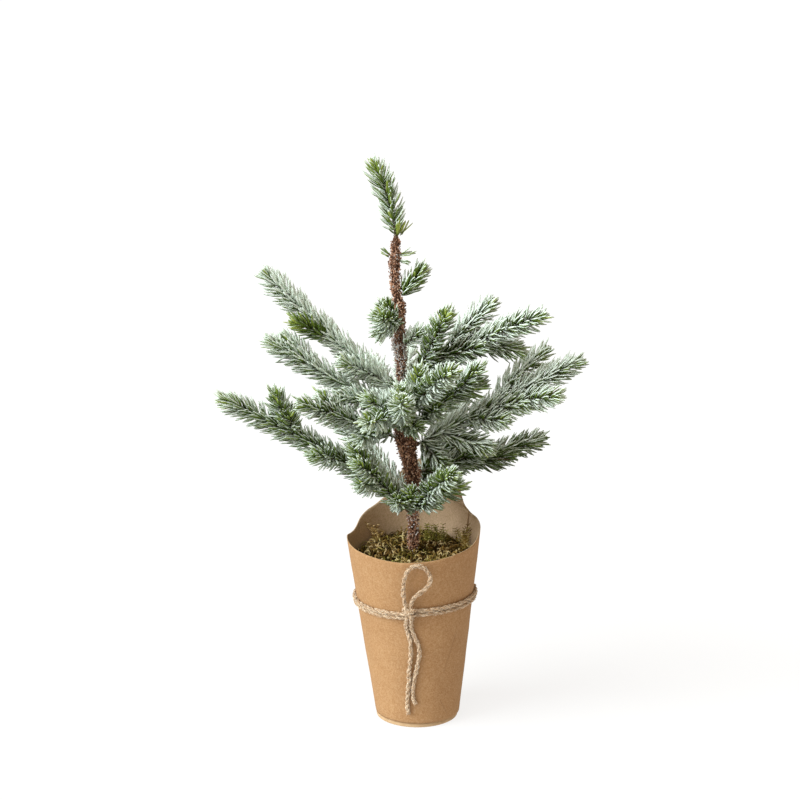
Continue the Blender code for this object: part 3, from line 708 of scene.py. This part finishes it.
def crease_depth(turns, heights):
    """How deep in a crease each place is, from 0 to 1."""
    deepest = np.zeros_like(turns)
    here = np.stack([turns, heights], axis=-1) * METRES_A_DEGREE
    for crease in CREASES:
        a, b = np.array(crease) * METRES_A_DEGREE
        share = np.clip((here - a) @ (b - a) / ((b - a) @ (b - a)), 0, 1)
        gap = np.linalg.norm(here - a - share[..., None] * (b - a), axis=-1)
        deepest = np.maximum(deepest, 1 - gap / CREASE_REACH)
    return deepest


# The sheet: its grid of points, and how far it swells and creases
PAPER_GRID = 440, 72
BROAD_SWELL = 0.00040
FINE_SWELL = 0.00012
CREASE_DEPTH = 0.0002


def make_paper():
    """One sheet rolled round the pot, with a fine grid so that it can swell and crease."""
    first, last = RIM[0][0], RIM[-1][0]
    columns, rows = PAPER_GRID
    turns, shares = np.meshgrid(np.linspace(first, last, columns), np.linspace(0, 1, rows), indexing="ij")
    tops = rim_height(turns)
    heights = PAPER_FOOT + (tops - PAPER_FOOT) * shares
    middle = pot_points(turns, heights)
    swell = noise_at(middle, 34, 3.0).reshape(turns.shape) * BROAD_SWELL
    swell += noise_at(middle, 120, 9.0).reshape(turns.shape) * FINE_SWELL
    creases = crease_depth(turns, heights)
    outward = layer_lift(turns) + swell * np.minimum(1, 4 * shares) - CREASE_DEPTH * creases
    edge = np.where((shares == 0) | (shares == 1), 0.8, 1.0) * PAPER_THICK / 2
    skins, look = [], []
    for side in (-1, 1):
        skins.append(pot_points(turns, heights, outward + side * edge).reshape(-1, 3))
        # The second value is how deep in a crease the outer skin lies, which the paper's material turns into
        # painted shade.
        values = [shares, creases * (side > 0), np.full_like(shares, side < 0)]
        look.append(np.stack(values, axis=-1).reshape(-1, 3))
    half = columns * rows
    grid = grid_faces(rows, columns, closed=False)
    ends = []
    for i in (0, columns - 1):
        a = i * rows + np.arange(rows - 1)
        ends.append(np.stack([a, half + a, half + a + 1, a + 1][:: 1 if i == 0 else -1], axis=1))
    for j in (0, rows - 1):
        a = np.arange(columns - 1) * rows + j
        ends.append(np.stack([a, a + rows, half + a + rows, half + a][:: 1 if j == 0 else -1], axis=1))
    quads = np.vstack([grid, grid[:, ::-1] + half, *ends])
    sheet = make_piece(
        "kraft_wrap", np.vstack(skins), quads, [], np.vstack(look), "kraft_sheet", "kraft_paper",
        replaces=["paper_wrap"],
    )


def make_disc():
    """The card disc under the paper, with a worn, slightly wavy edge."""
    sides, top = 180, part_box("card_disc")[1].z
    rings = [
        (0.0, 0.0006), (0.0003, 0.0001), (top * 0.3, 0), (top * 0.6, 0.0001), (top - 0.0003, 0.0001),
        (top, 0.0005),
    ]
    rows = []
    for height, inset in rings:
        wear = noise_at(level_points(6, circle(sides), 0, height * 300), 2.0) * 0.00018
        rows.append(level_points(FOOT_RADIUS + 0.0003 - inset + wear, circle(sides), 0, height))
    make_piece(
        "base_card", np.vstack(rows), *tube_faces(len(rings), sides), None, "layered_card", "kraft_card",
        replaces=["card_disc"],
    )


# ---- twine


# Twine, in its own radius: how far each of its two strands lies from the middle, and a strand's radius
STRAND_OUTWARD = 0.46
STRAND_RADIUS = 0.52
FIBRES = 22
FUZZ_PER_METRE = 20000
BAND_FUZZ = 8000
KNOT_FUZZ = 160


def make_strand(bundle, line, diameter, seed, loose=0.0):
    """Two-strand twine along a line. Each strand is a bundle of loose fibres, wound round the other."""
    rng = np.random.default_rng(seed)
    radius = diameter / 2
    _, u, v = frames_on(line)
    count = len(line)
    along = np.arange(count) * line_length(line) / (count - 1)
    phase = along * math.tau / (diameter * 4.0) + rng.random() * 6 + 0.9 * np.sin(along * 190 + seed)
    wander = 1 + 0.14 * np.sin(along * 430 + seed) + 0.10 * np.sin(along * 1300 + 2 * seed)
    each = (FIBRES, 1)
    for strand in (0, math.pi):
        middle = line + around(phase + strand, u, v) * radius * (STRAND_OUTWARD + loose)
        sides = 12
        thick = radius * STRAND_RADIUS * wander
        points, quads, tris = tube(middle, thick, sides, turn=-phase, lobes=6, depth=0.08)
        # The third look value is how far out from the twine's middle a point lies: the jute material paints
        # shade on the inner points.
        out = np.linalg.norm(points - np.repeat(line, sides, axis=0), axis=1) / radius
        tone = np.full(len(points), 0.35)
        bundle.add(points, quads, tris, np.stack([tone, tone, np.clip((out - 0.3) / 0.6, 0, 1)], axis=1))
        angle = circle(FIBRES)[:, None] + rng.uniform(-0.3, 0.3, each)
        sway = np.sin(along * rng.uniform(120, 620, each) + rng.uniform(0, 6, each))
        slack = np.maximum(0, np.sin(along * rng.uniform(260, 800, each) + rng.uniform(0, 6, each)))
        lift = thick * rng.uniform(0.92, 1.16, each) * (1 + 0.42 * slack)
        hairs = middle + lift[..., None] * around(angle - phase * 1.1 + 1.7 * sway, u, v)
        radii = rng.uniform(0.00006, 0.00019, each) * np.ones(count)
        points, quads, tris = thin_strands(hairs, radii, 3)
        # Fibres near the twine's middle get painted shade from the same third value.
        out = np.linalg.norm(points - np.repeat(line, 3, axis=0), axis=2) / radius
        tones = np.broadcast_to(rng.random(each), out.shape)
        look = np.stack([tones, 0.6 + 0.4 * tones, np.clip((out - 0.10) / 0.6, 0, 1)], axis=-1)
        bundle.add_many(points, quads, tris, look)


def make_fuzz(bundle, line, diameter, count, seed, longest=0.0020):
    """Loose hairs that stand off a twine and curl back along it."""
    rng = np.random.default_rng(seed)
    heading, u, v = frames_on(line)
    k = rng.integers(0, len(line), count)
    each = (count, 1)
    out = around(rng.uniform(0, math.tau, count), u[k], v[k])
    forward = heading[k] * rng.choice((-1, 1), each)
    way = unit(out * rng.uniform(0.2, 1.0, each) + forward * rng.uniform(0.5, 1.8, each))
    bend = unit(rng.uniform(-1, 1, (count, 3)) + forward) * rng.uniform(0.2, 0.7, each)
    size = rng.uniform(0.30, 1.0, (count, 1, 1)) ** 1.3 * longest
    t = np.linspace(0, 1, 5)[None, :, None]
    curls = (way[:, None] * t + bend[:, None] * t**2) * size
    lines = line[k][:, None] + out[:, None] * diameter * 0.36 + curls
    radii = np.tile(np.linspace(0.00008, 0.00003, 5), each)
    tones = rng.uniform(0.2, 1.0, each)
    bundle.add_strands(lines, radii, 3, tones, tones, 1.0)


def under_twine(turns):
    """How far out the paper's outer layer lies at each turn."""
    place = turns % 360
    second_layer = np.clip((135 - place) / 20, 0, 1) * PAPER_LIFT
    return np.maximum(second_layer, layer_lift(place))


# The band's first turn and how far round it goes, and the turn at which its two wraps are counted, in degrees
BAND_START = 262
BAND_TURN = 728
BAND_FRONT = 266


def band_line():
    """Two turns round the pot, which draw apart a little at the right."""
    turns = BAND_START + BAND_TURN * np.linspace(0, 1, 289)
    wraps = (turns - BAND_FRONT) / 360
    cosines = np.cos(np.radians(turns))
    x = pot_radius(BAND_HEIGHT) * cosines + LEAN * BAND_HEIGHT
    heights = BAND_HEIGHT + BAND_TILT * x + (BAND_PITCH + BAND_OPENING * cosines) * (1 - wraps)
    outward = under_twine(turns) + PAPER_THICK / 2 + 0.0002 + TWINE_DIAMETER / 2
    return smooth_line(pot_points(turns, heights, outward), 0.0006)


def from_knot(steps):
    return [KNOT + Vector(step) for step in steps]


def knot_lines():
    """The turns of twine that show on the knot, over each other."""
    over = [
        (-0.0050, 0.0020, -0.0016), (-0.0034, -0.0008, -0.0006), (-0.0002, -0.0024, 0.0006),
        (0.0032, -0.0012, 0.0016), (0.0050, 0.0018, 0.0024),
    ]
    down = [
        (-0.0020, 0.0006, 0.0062), (-0.0020, -0.0010, 0.0034), (0.0002, -0.0016, -0.0006),
        (0.0016, -0.0012, -0.0036), (0.0018, 0.0000, -0.0062),
    ]
    back = [(0.0016, 0.0006, 0.0062), (0.0016, 0.0, 0.0024), (-0.0010, 0.0, -0.0022), (-0.0019, 0.0, -0.0060)]
    under = [
        (-0.0046, 0.0014, 0.0022), (-0.0018, -0.0008, 0.0030), (0.0022, -0.0008, -0.0022),
        (0.0046, 0.0014, -0.0020),
    ]
    return [smooth_line(from_knot(steps), 0.0004) for steps in (over, down, back, under)]


def make_twine():
    """The bow's loop and tails, then the band and the knot."""
    routes = {
        "bow_loop": (from_knot(BOW_LOOP), 0.05),
        "tail_left": (from_knot([TAIL_LEFT_START]) + [front_point(*place) for place in TAIL_LEFT], 0.02),
        "tail_right": (from_knot([TAIL_RIGHT_START]) + [front_point(*place) for place in TAIL_RIGHT], -0.06),
    }
    for seed, (name, (points, loose)) in enumerate(routes.items()):
        line = smooth_line(points, 0.0005)
        bundle = Bundle()
        make_strand(bundle, line, TWINE_DIAMETER, 3 + seed, loose)
        make_fuzz(bundle, line, TWINE_DIAMETER, int(line_length(line) * FUZZ_PER_METRE), 13 + seed)
        piece = bundle.make("jute_" + name, "jute_fibre", "jute", replaces=["twine_" + name])
        line_length(line)
    band = Bundle()
    line = band_line()
    make_strand(band, line, TWINE_DIAMETER, 31)
    make_fuzz(band, line, TWINE_DIAMETER, BAND_FUZZ, 33, 0.0019)
    band.make("jute_band", "jute_fibre", "jute", replaces=["twine_band"])
    knot = Bundle()
    for seed, line in enumerate(knot_lines()):
        make_strand(knot, line, TWINE_DIAMETER * 0.95, 41 + seed)
        make_fuzz(knot, line, TWINE_DIAMETER, KNOT_FUZZ, 51 + seed)
    knot.make("jute_knot", "jute_fibre", "jute", replaces=["twine_knot"])


# ---- moss


# The moss: curls in all, fronds in a tuft on the wall, and how thick a curl is along it
MOSS_CURLS = 1500
TUFT_FRONDS = 4
CURL_SHAPE = np.array([0.6, 0.9, 1.0, 1.0, 1.0, 0.95, 0.85, 0.7, 0.5, 0.2])


def moss_heights(places):
    """Height of the moss under each place. It sinks a little by the wall at the left."""
    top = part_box("moss_layer")[1].z
    flat = np.column_stack([places[:, 0], places[:, 1], np.zeros(len(places))])
    lumps = noise_at(flat, 90, 1.0) * 0.0022 + noise_at(flat, 260, 5.0) * 0.0012
    sunk = 0.0040 * np.clip((-0.026 - places[:, 0]) / 0.014, 0, 1)
    return top - 0.0022 + lumps - sunk


def moss_points(centre, reach, turns, sunk):
    """Points on the moss, sunk into it, at distances and turns from its centre."""
    x, y = centre[0] + reach * np.cos(turns), centre[1] + reach * np.sin(turns)
    places = np.stack([x, y], axis=-1).reshape(-1, 2)
    return np.column_stack([places, moss_heights(places) - sunk])


def make_moss():
    """A lumpy bed of moss with curls over it, and tufts that climb the wall."""
    low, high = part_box("moss_layer")
    centre = np.array((low + high) / 2)
    edge = (high.x - low.x) / 2
    rng = np.random.default_rng(41)
    bundle = Bundle()
    rings, sides = 26, 96
    reach, turns = np.meshgrid(np.linspace(edge, edge * 0.02, rings), circle(sides), indexing="ij")
    ground = moss_points(centre, reach, turns, 0.0016)
    ground[:sides, 2] -= 0.0030
    under = ground[:sides].copy()
    under[:, 2] = low.z
    # The bed is painted dark, as painted shade in the gaps between the curls; its along value of 0.3 darkens
    # it further.
    bundle.add(np.vstack([under, ground]), *tube_faces(rings + 1, sides), (0.05, 0.3, 0.3))
    reach = edge * np.sqrt(rng.random(MOSS_CURLS)) * 0.96
    starts = moss_points(centre, reach, rng.uniform(0, math.tau, MOSS_CURLS), 0.0008)
    add_curls(bundle, rng, starts, centre, edge)
    for turn, share, size, green in MOSS_TUFTS:
        start = moss_points(centre, edge * share, math.radians(turn), 0.0)[0]
        for _ in range(TUFT_FRONDS):
            shift = rng.uniform(-0.002, 0.002, 3) * (1, 1, 0)
            add_frond(bundle, rng, start + shift, size * rng.uniform(0.7, 1.0), green)
    bundle.make("moss_tuft", "dried_moss", "moss", replaces=["moss_layer"])


def add_curls(bundle, rng, starts, centre, edge):
    """Curly leaf-like strands that rise from the moss and wind over it."""
    count, steps = len(starts), len(CURL_SHAPE) - 1
    heading = unit(np.column_stack([rng.uniform(-1, 1, (count, 2)), rng.uniform(0.0, 0.9, count)]))
    axis = unit(rng.uniform(-1, 1, (count, 3)))
    angle = rng.uniform(0.25, 0.85, (count, 1))
    size = rng.uniform(0.005, 0.014, (count, 1))
    line = [starts]
    for _ in range(steps):
        step = line[-1] + heading * size / steps
        out = step[:, :2] - centre[:2]
        far = np.linalg.norm(out, axis=1, keepdims=True)
        step[:, :2] = centre[:2] + out * np.minimum(1, edge * 0.985 / np.maximum(far, 1e-9))
        line.append(step)
        heading = (
            heading * np.cos(angle) + np.cross(axis, heading) * np.sin(angle)
            + axis * np.sum(axis * heading, axis=1, keepdims=True) * (1 - np.cos(angle))
        )
        high = step[:, 2] > starts[:, 2] + 0.0030
        heading[high, 2] = -np.abs(heading[high, 2])
    radii = rng.uniform(0.00032, 0.00082, (count, 1)) * CURL_SHAPE
    # How far along each curl a point lies, which the moss material darkens at the root as painted shade.
    along = np.repeat(np.linspace(0, 1, steps + 1), 4)
    patch = noise_at(starts, 75, 9.0) * 1.1 + 0.26 + rng.uniform(-0.30, 0.30, count)
    front = np.clip((-0.012 - starts[:, 1]) / 0.03, 0, 1)
    tone = np.clip(rng.random(count) ** 1.1 + 0.12 * front, 0, 1)
    green = np.clip(patch + 0.1 * front, 0, 1)
    bundle.add_strands(np.stack(line, axis=1), radii, 4, tone[:, None], along, green[:, None])


def add_frond(bundle, rng, start, size, green):
    """A feathery bit of moss: a thin stem with small side leaves."""
    way = unit((0.0, 0.05, 1.0) + rng.uniform(-0.4, 0.4, 3) * (1, 0.7, 0))
    t = np.linspace(0, 1, 7)[:, None]
    stem = start + way * t * size + np.array((rng.uniform(-1, 1), 0, 0)) * t**2 * size * 0.25
    points, quads, tris = tube(stem, np.linspace(0.00034, 0.00016, 7), 4)
    bundle.add(points, quads, tris, (rng.uniform(0.4, 0.8), 0.8, green))
    roots = np.repeat(stem[1:], 2, axis=0)
    count = len(roots)
    sideways = np.tile((-1, 1), 6) * rng.uniform(0.5, 1, count)
    ways = unit(np.column_stack([sideways, rng.uniform(-0.8, 0.4, count), rng.uniform(0.1, 0.8, count)]))
    lines = roots[:, None] + ways[:, None] * np.linspace(0, 1, 4)[None, :, None] * size * 0.20
    radii = np.tile((0.00026, 0.00036, 0.00026, 0.00010), (count, 1))
    bundle.add_strands(lines, radii, 4, rng.uniform(0.3, 0.95, (count, 1)), 0.9, green)


# ---- trunk


def node_points(name):
    return np.array([tuple(v.co) for v in NODES[name].data.vertices])


def trunk_slices():
    """Height, sideways place and radius of the bark, read off the CAD's two sleeves."""
    points = np.vstack([node_points(name) for name in ("bark_lower", "bark_upper")])
    low, high = points[:, 2].min(), points[:, 2].max()
    rows = []
    for height in np.linspace(low + 0.001, high - 0.001, 44):
        near = points[np.abs(points[:, 2] - height) < 0.0045]
        out = near[np.linalg.norm(near[:, :2] - near[:, :2].mean(0), axis=1) > 0.0026]
        middle = (out[:, 0].min() + out[:, 0].max()) / 2
        rows.append((height, middle, np.percentile(np.hypot(out[:, 0] - middle, out[:, 1]), 70)))
    return np.array(rows)


def trunk_at(slices, heights):
    """Sideways place and radius of the bark at each height."""
    return np.interp(heights, slices[:, 0], slices[:, 1]), np.interp(heights, slices[:, 0], slices[:, 2])


# Bark: points round it, the height of a row, how far it swells and its chips stand out, and its loose crumbs
BARK_SIDES = 84
BARK_STEP = 0.00050
BARK_SWELL = 0.0013
CHIP_HEIGHT = 0.0022
CRUMBS = 2600

# Where the three values that shift a point of the bark are read from the noise
WOBBLE_SHIFTS = ((9.3, -1.5, -8.0), (0.0, 0.0, 0.0), (6.3, 0.2, -2.7))


def bark_relief(place):
    """How far the bark stands out at a point, from 0 in a gap to 1 on a chip, and the chip's own tone."""
    stretched = Vector((place[0] * 720, place[1] * 720, place[2] * 520))
    wobble = Vector([noise.noise(stretched * 0.9 + Vector(shift)) for shift in WOBBLE_SHIFTS]) * 0.70
    near, cells = noise.voronoi(stretched + wobble)
    chip = min(1.0, (near[1] - near[0]) * 1.5)
    tone = noise.cell(cells[0] * 7.3) * 0.5 + 0.5
    small, _ = noise.voronoi(stretched * 2.6)
    height = 0.45 + 0.55 * tone
    return chip * height * 0.8 + 0.2 * min(1.0, (small[1] - small[0]) * 1.5), tone


def frost_at(heights):
    """Frost on the trunk: most where the upper branches leave it."""
    levels = (0.12, 0.137, 0.15, 0.17, 0.20, 0.25, 0.272, 0.31, 0.325, 0.36, 0.39)
    return np.interp(heights, levels, (0.0, 0.05, 0.16, 0.30, 0.03, 0.06, 0.50, 0.56, 0.10, 0.16, 0.10))


def make_bark():
    """A skin of chips and gaps on each of the CAD's two sleeves, and crumbs on it."""
    slices = trunk_slices()
    for name, node in (("bark_skin_lower", "bark_lower"), ("bark_skin_upper", "bark_upper")):
        low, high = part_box(node)[0].z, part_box(node)[1].z
        high += BARK_COLLAR if node == "bark_upper" else 0
        rows = round((high - low) / BARK_STEP)
        heights, turns = np.meshgrid(np.linspace(low, high, rows), circle(BARK_SIDES), indexing="ij")
        middle, radius = trunk_at(slices, heights)
        rough = level_points(radius, turns, middle, heights).reshape(-1, 3)
        pairs = np.array([bark_relief(p) for p in rough])
        relief, tone = (pairs[:, k].reshape(heights.shape) for k in (0, 1))
        swell = noise_at(rough, 210).reshape(heights.shape) * BARK_SWELL
        near_end = np.minimum(np.arange(rows), np.arange(rows)[::-1])[:, None]
        out = (radius - 0.0021 + swell + relief * CHIP_HEIGHT) * np.minimum(1.0, 0.5 + near_end * 0.12)
        points = level_points(out, turns, middle, heights).reshape(-1, 3)
        frost = np.maximum(0, frost_at(heights) + 0.3 * noise_at(rough, 120).reshape(heights.shape))
        look = np.stack([relief, tone, frost], axis=-1).reshape(-1, 3)
        make_piece(name, points, *tube_faces(rows, BARK_SIDES), look, "crumbly_bark", "bark", replaces=[node])
    make_crumbs(slices)


def make_crumbs(slices):
    """Loose chips that stand off the bark."""
    rng = np.random.default_rng(77)
    bundle = Bundle()
    corners = np.array([(1, 0, 0), (-1, 0, 0), (0, 1, 0), (0, -1, 0), (0, 0, 1), (0, 0, -1)], float)
    sides = np.array([(0, 2, 4), (2, 1, 4), (1, 3, 4), (3, 0, 4), (2, 0, 5), (1, 2, 5), (3, 1, 5), (0, 3, 5)])
    count = CRUMBS
    heights = rng.uniform(slices[0, 0], slices[-1, 0], count)
    middle, radius = trunk_at(slices, heights)
    turns = rng.uniform(0, math.tau, count)
    centres = level_points(radius + rng.uniform(-0.0012, 0.0001, count), turns, middle, heights)
    chips = corners + rng.uniform(-0.35, 0.35, (count, 6, 3))
    chips = chips * rng.uniform(0.0003, 0.0010, (count, 1, 3))
    axes = unit(rng.normal(size=(count, 3, 3)))
    chips = np.einsum("nij,njk->nik", chips, np.linalg.qr(axes)[0])
    height, tone = rng.uniform(0.5, 1.0, count), rng.random(count)
    look = np.stack([height, tone, frost_at(heights) + rng.uniform(-0.2, 0.3, count)], axis=1)
    look = np.broadcast_to(np.maximum(0, look)[:, None], chips.shape)
    bundle.add_many(chips + centres[:, None], NO_QUADS, sides, look)
    bundle.make("bark_crumbs", "crumbly_bark", "bark", smooth=False)


# ---- needles


def sprig_line(node, anchor, from_anchor):
    """The middle line of a CAD sprig from its root to its tip, as a smooth curve through its points."""
    points = node_points(node)
    away = np.linalg.norm(points - anchor, axis=1)
    root, tip = points[away.argmin()], points[away.argmax()]
    along = (points - root) @ unit(tip - root)
    curve = np.polynomial.polynomial.polyfit(along, points, 2)
    line = np.polynomial.polynomial.polyval(np.linspace(max(0.0, along.min()), along.max(), 60), curve).T
    if from_anchor:
        line = np.vstack([anchor, line])
    return respace(line, 0.001)


def needle_template():
    """Share along and place across of the points of a five-sided needle, and its faces."""
    rings, sides = 6, 5
    shares = np.append(np.arange(rings) / rings, 1.0)
    widths = np.interp(shares, (0, 0.12, 0.35, 0.75, 0.90, 1), (0.50, 0.82, 1.0, 0.98, 0.84, 0.30))
    turns = circle(sides)
    shape = widths[:, None, None] * np.stack([np.cos(turns), 0.78 * np.sin(turns)], axis=-1)
    return np.repeat(shares, sides), shape.reshape(-1, 2), *tube_faces(len(shares), sides)


NEEDLE = needle_template()


def add_needles(bundle, roots, ways, forwards, lengths, widths, bends, tones, frosts):
    """Curved needles: each leaves its root along its way and bends towards its forward."""
    along, shape, quads, tris = NEEDLE
    across = unit(np.cross(ways, forwards))
    up = unit(np.cross(across, ways))
    t = along[None, :, None]
    reach = t * ways[:, None] + bends[:, None, None] * t**2 * forwards[:, None]
    points = roots[:, None] + lengths[:, None, None] * reach
    spread = shape[None, :, :1] * across[:, None] + shape[None, :, 1:] * up[:, None]
    points = points + widths[:, None, None] / 2 * spread
    look = np.stack(np.broadcast_arrays(tones[:, None], along[None], frosts[:, None]), axis=-1)
    bundle.add_many(points, quads, tris, look)


def add_grains(bundle, rng, places, spread):
    """Small rough grains of frost that sit on the needles."""
    corners = np.array([(1, 0, -0.4), (-0.6, 0.8, -0.4), (-0.6, -0.8, -0.4), (0, 0, 0.9)], float)
    sides = np.array([(0, 1, 3), (1, 2, 3), (2, 0, 3), (0, 2, 1)])
    count = len(places)
    turns = rng.uniform(0, math.tau, count)
    spin = np.zeros((count, 3, 3))
    spin[:, 0, 0] = spin[:, 1, 1] = np.cos(turns)
    spin[:, 0, 1] = np.sin(turns)
    spin[:, 1, 0] = -np.sin(turns)
    spin[:, 2, 2] = 1
    grains = np.einsum("ij,njk->nik", corners, spin) * rng.uniform(0.00016, 0.00040, (count, 1, 1))
    centres = places + rng.uniform(-spread, spread, (count, 3))
    bundle.add_many(grains + centres[:, None], NO_QUADS, sides, np.zeros((count, 4, 3)))


def needle_rows(rng, line, start, frost, yellow):
    """Places, ways and values of the needles along a twig, as arrays."""
    total = line_length(line)
    heading, u, v = frames_on(line)
    end = total - TIP_LENGTH
    count = max(6, int((end - start) * NEEDLES_PER_METRE))
    at = np.linspace(start, end, count) + rng.uniform(-0.0008, 0.0008, count)
    k = np.clip((at / total * (len(line) - 1)).astype(int), 0, len(line) - 1)
    near_tip = np.clip(1 - (end - at) / 0.014, 0, 1)
    near_root = np.clip(1 - (at - start) / 0.010, 0, 1)
    turns = np.arange(count) * GOLDEN_TURN + rng.uniform(-0.30, 0.30, count)
    out = around(turns, u[k], v[k])
    lean = np.radians(rng.uniform(*NEEDLE_LEAN, count) - 26 * near_tip)[:, None]
    ways = out * np.sin(lean) + heading[k] * np.cos(lean) + (0, 0, 0.05) + rng.normal(0, 0.13, (count, 3))
    roots = line[k] + out * 0.0006
    facing = np.clip(0.5 + out[:, 2], 0, 1)
    patches = noise_at(roots, 42, 4.0)
    frosts = frost * (0.70 + 0.45 * facing) * (1.12 - 0.24 * at / total - 0.18 * near_tip)
    return {
        "roots": roots,
        "ways": unit(ways),
        "forwards": heading[k],
        "lengths": rng.uniform(*NEEDLE_LENGTH, count) * (1 - 0.30 * near_tip - 0.22 * near_root),
        "widths": rng.uniform(*NEEDLE_WIDTH, count),
        "bends": rng.uniform(0.18, 0.62, count),
        "tones": np.clip(rng.normal(0.44, 0.16, count) + 0.28 * near_tip + yellow, 0, 1),
        "frosts": np.maximum(0, frosts + 0.16 * patches + rng.normal(0, 0.10, count)),
    }


def tip_rows(rng, line, frost, yellow):
    """The short needles that close round the end of a twig."""
    count = TIP_NEEDLES
    heading, u, v = (axis[-1] for axis in frames_on(line))
    out = around(np.arange(count) * GOLDEN_TURN, u, v)
    return {
        "roots": line[-1] - heading * TIP_LENGTH + out * 0.0004,
        "ways": unit(out * rng.uniform(0.1, 0.65, (count, 1)) + heading),
        "forwards": np.tile(heading, (count, 1)),
        "lengths": rng.uniform(0.0062, 0.0088, count),
        "widths": rng.uniform(0.00130, 0.00165, count),
        "bends": np.full(count, 0.05),
        "tones": np.clip(rng.uniform(0.45, 0.82, count) + yellow, 0, 1),
        "frosts": np.full(count, frost * 0.75),
    }


def make_sprig(name, line, body, start, look, seed, replaces=()):
    """A twig with needles that lean forward, close round the tip, and carry frost on their upper sides."""
    rng = np.random.default_rng(seed)
    frost, yellow = look
    needles, grains = Bundle(), Bundle()
    twig = line[: max(3, int(len(line) * (1 - TIP_LENGTH / line_length(line))))]
    points, quads, tris = tube(twig, np.linspace(0.0012, 0.0006, len(twig)), 7)
    needles.add(points, quads, tris, (0.0, 0.4, frost * 0.5))
    rows = needle_rows(rng, line, start, frost, yellow)
    add_needles(needles, **rows)
    add_needles(needles, **tip_rows(rng, line, frost, yellow))
    needles.make("needles_" + name, "frosted_needles", "needles", body=body, replaces=replaces)
    frosty = np.flatnonzero(rng.random(len(rows["frosts"])) < rows["frosts"])
    if len(frosty):
        picked = np.repeat(frosty, GRAINS_A_NEEDLE)
        roots, ways, forwards = (rows[key][picked] for key in ("roots", "ways", "forwards"))
        lengths, bends = (rows[key][picked, None] for key in ("lengths", "bends"))
        share = rng.uniform(0.1, 0.9, (len(picked), 1))
        places = roots + lengths * (share * ways + bends * share**2 * forwards)
        add_grains(grains, rng, places + (0, 0, 0.0006), 0.0006)
        grains.make("frost_" + name, "frost_grains", "needles", body=body)


def look_of(name):
    """Frost and yellowness of a sprig: its own row, or its branch's."""
    return FROST[max((key for key in FROST if name.startswith(key)), key=len)]


def straight_twig(start, turn, rise, length):
    way = direction(turn, rise)
    return respace(np.array([start, start + way * length / 2, start + way * length]), 0.001)


def make_sprigs():
    """A sprig for each of the CAD's, from its joint to its tip, then the ones that only show."""
    joints = {joint["child"]: np.array(joint["pos_m"]) for joint in frame["joints"]}
    lines = {}
    for seed, node in enumerate(sorted(name for name in NODES if name.startswith("sprig_"))):
        name = node[len("sprig_"):]
        body = NODES[node]["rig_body"]
        main = "stem_" + name in NODES
        if body == ROOT_BODY:
            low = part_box(node)[0].z
            anchor = np.array((trunk_at(trunk_slices(), low)[0], 0, low))
        else:
            anchor = joints[body]
        line = sprig_line(node, anchor, main)
        lines[name] = line, body
        start = LEADER_ROOT if name == "leader" else BARE_ROOT if main else SIDE_ROOT
        make_sprig(name, line, body, start, look_of(name), 100 + seed, [node])
    for seed, (name, parent, share, turn, rise, length, *look) in enumerate(EXTRA_SPRIGS):
        line, body = lines[parent]
        twig = straight_twig(line[int(share * (len(line) - 1))], turn, rise, length)
        make_sprig(name, twig, body, SIDE_ROOT, look, 200 + seed)


def make_trunk_tufts():
    """Single needles and little tufts that grow straight out of the bark."""
    rng = np.random.default_rng(91)
    slices = trunk_slices()
    bundle = Bundle()
    count = TUFT_NEEDLES
    for height, turn, rise, length, frost, yellow in TRUNK_TUFTS:
        middle, radius = trunk_at(slices, height)
        way = direction(turn, rise)
        start = np.array((middle, 0, height)) + direction(turn) * (radius - 0.0006)
        add_needles(
            bundle,
            roots=start + rng.uniform(-0.0012, 0.0012, (count, 3)),
            ways=unit(way + rng.normal(0, 0.26, (count, 3))),
            forwards=np.tile(way, (count, 1)),
            lengths=length * rng.uniform(0.7, 1.0, count),
            widths=rng.uniform(0.0012, 0.0016, count),
            bends=np.full(count, 0.1),
            tones=np.clip(rng.uniform(0.35, 0.75, count) + yellow, 0, 1),
            frosts=np.full(count, frost),
        )
    bundle.make("needles_on_trunk", "frosted_needles", "needles")


# ---- the CAD's own pieces that stay


def dress_frame():
    """Materials for the CAD's hidden pieces and its stems."""
    wear = {
        "inner_cup": "black_cup", "cement_ballast": "grey_cement", "coir_bed": "coir_mat",
        "trunk_core_wire": "drawn_wire",
    }
    wear.update({node: "wound_tape" for node in NODES if node.startswith("stem_")})
    for node, material in wear.items():
        NODES[node].data.materials.clear()
        NODES[node].data.materials.append(bpy.data.materials[material])


def build():
    make_camera()
    make_lights()
    for step in (
        paint_needles, paint_frost, paint_bark, paint_stem, paint_paper, paint_card, paint_jute, paint_moss,
        paint_hidden, make_twine, make_floor, make_paper, make_disc, make_moss, make_bark, make_sprigs,
        make_trunk_tufts, dress_frame,
    ):
        step()


build()
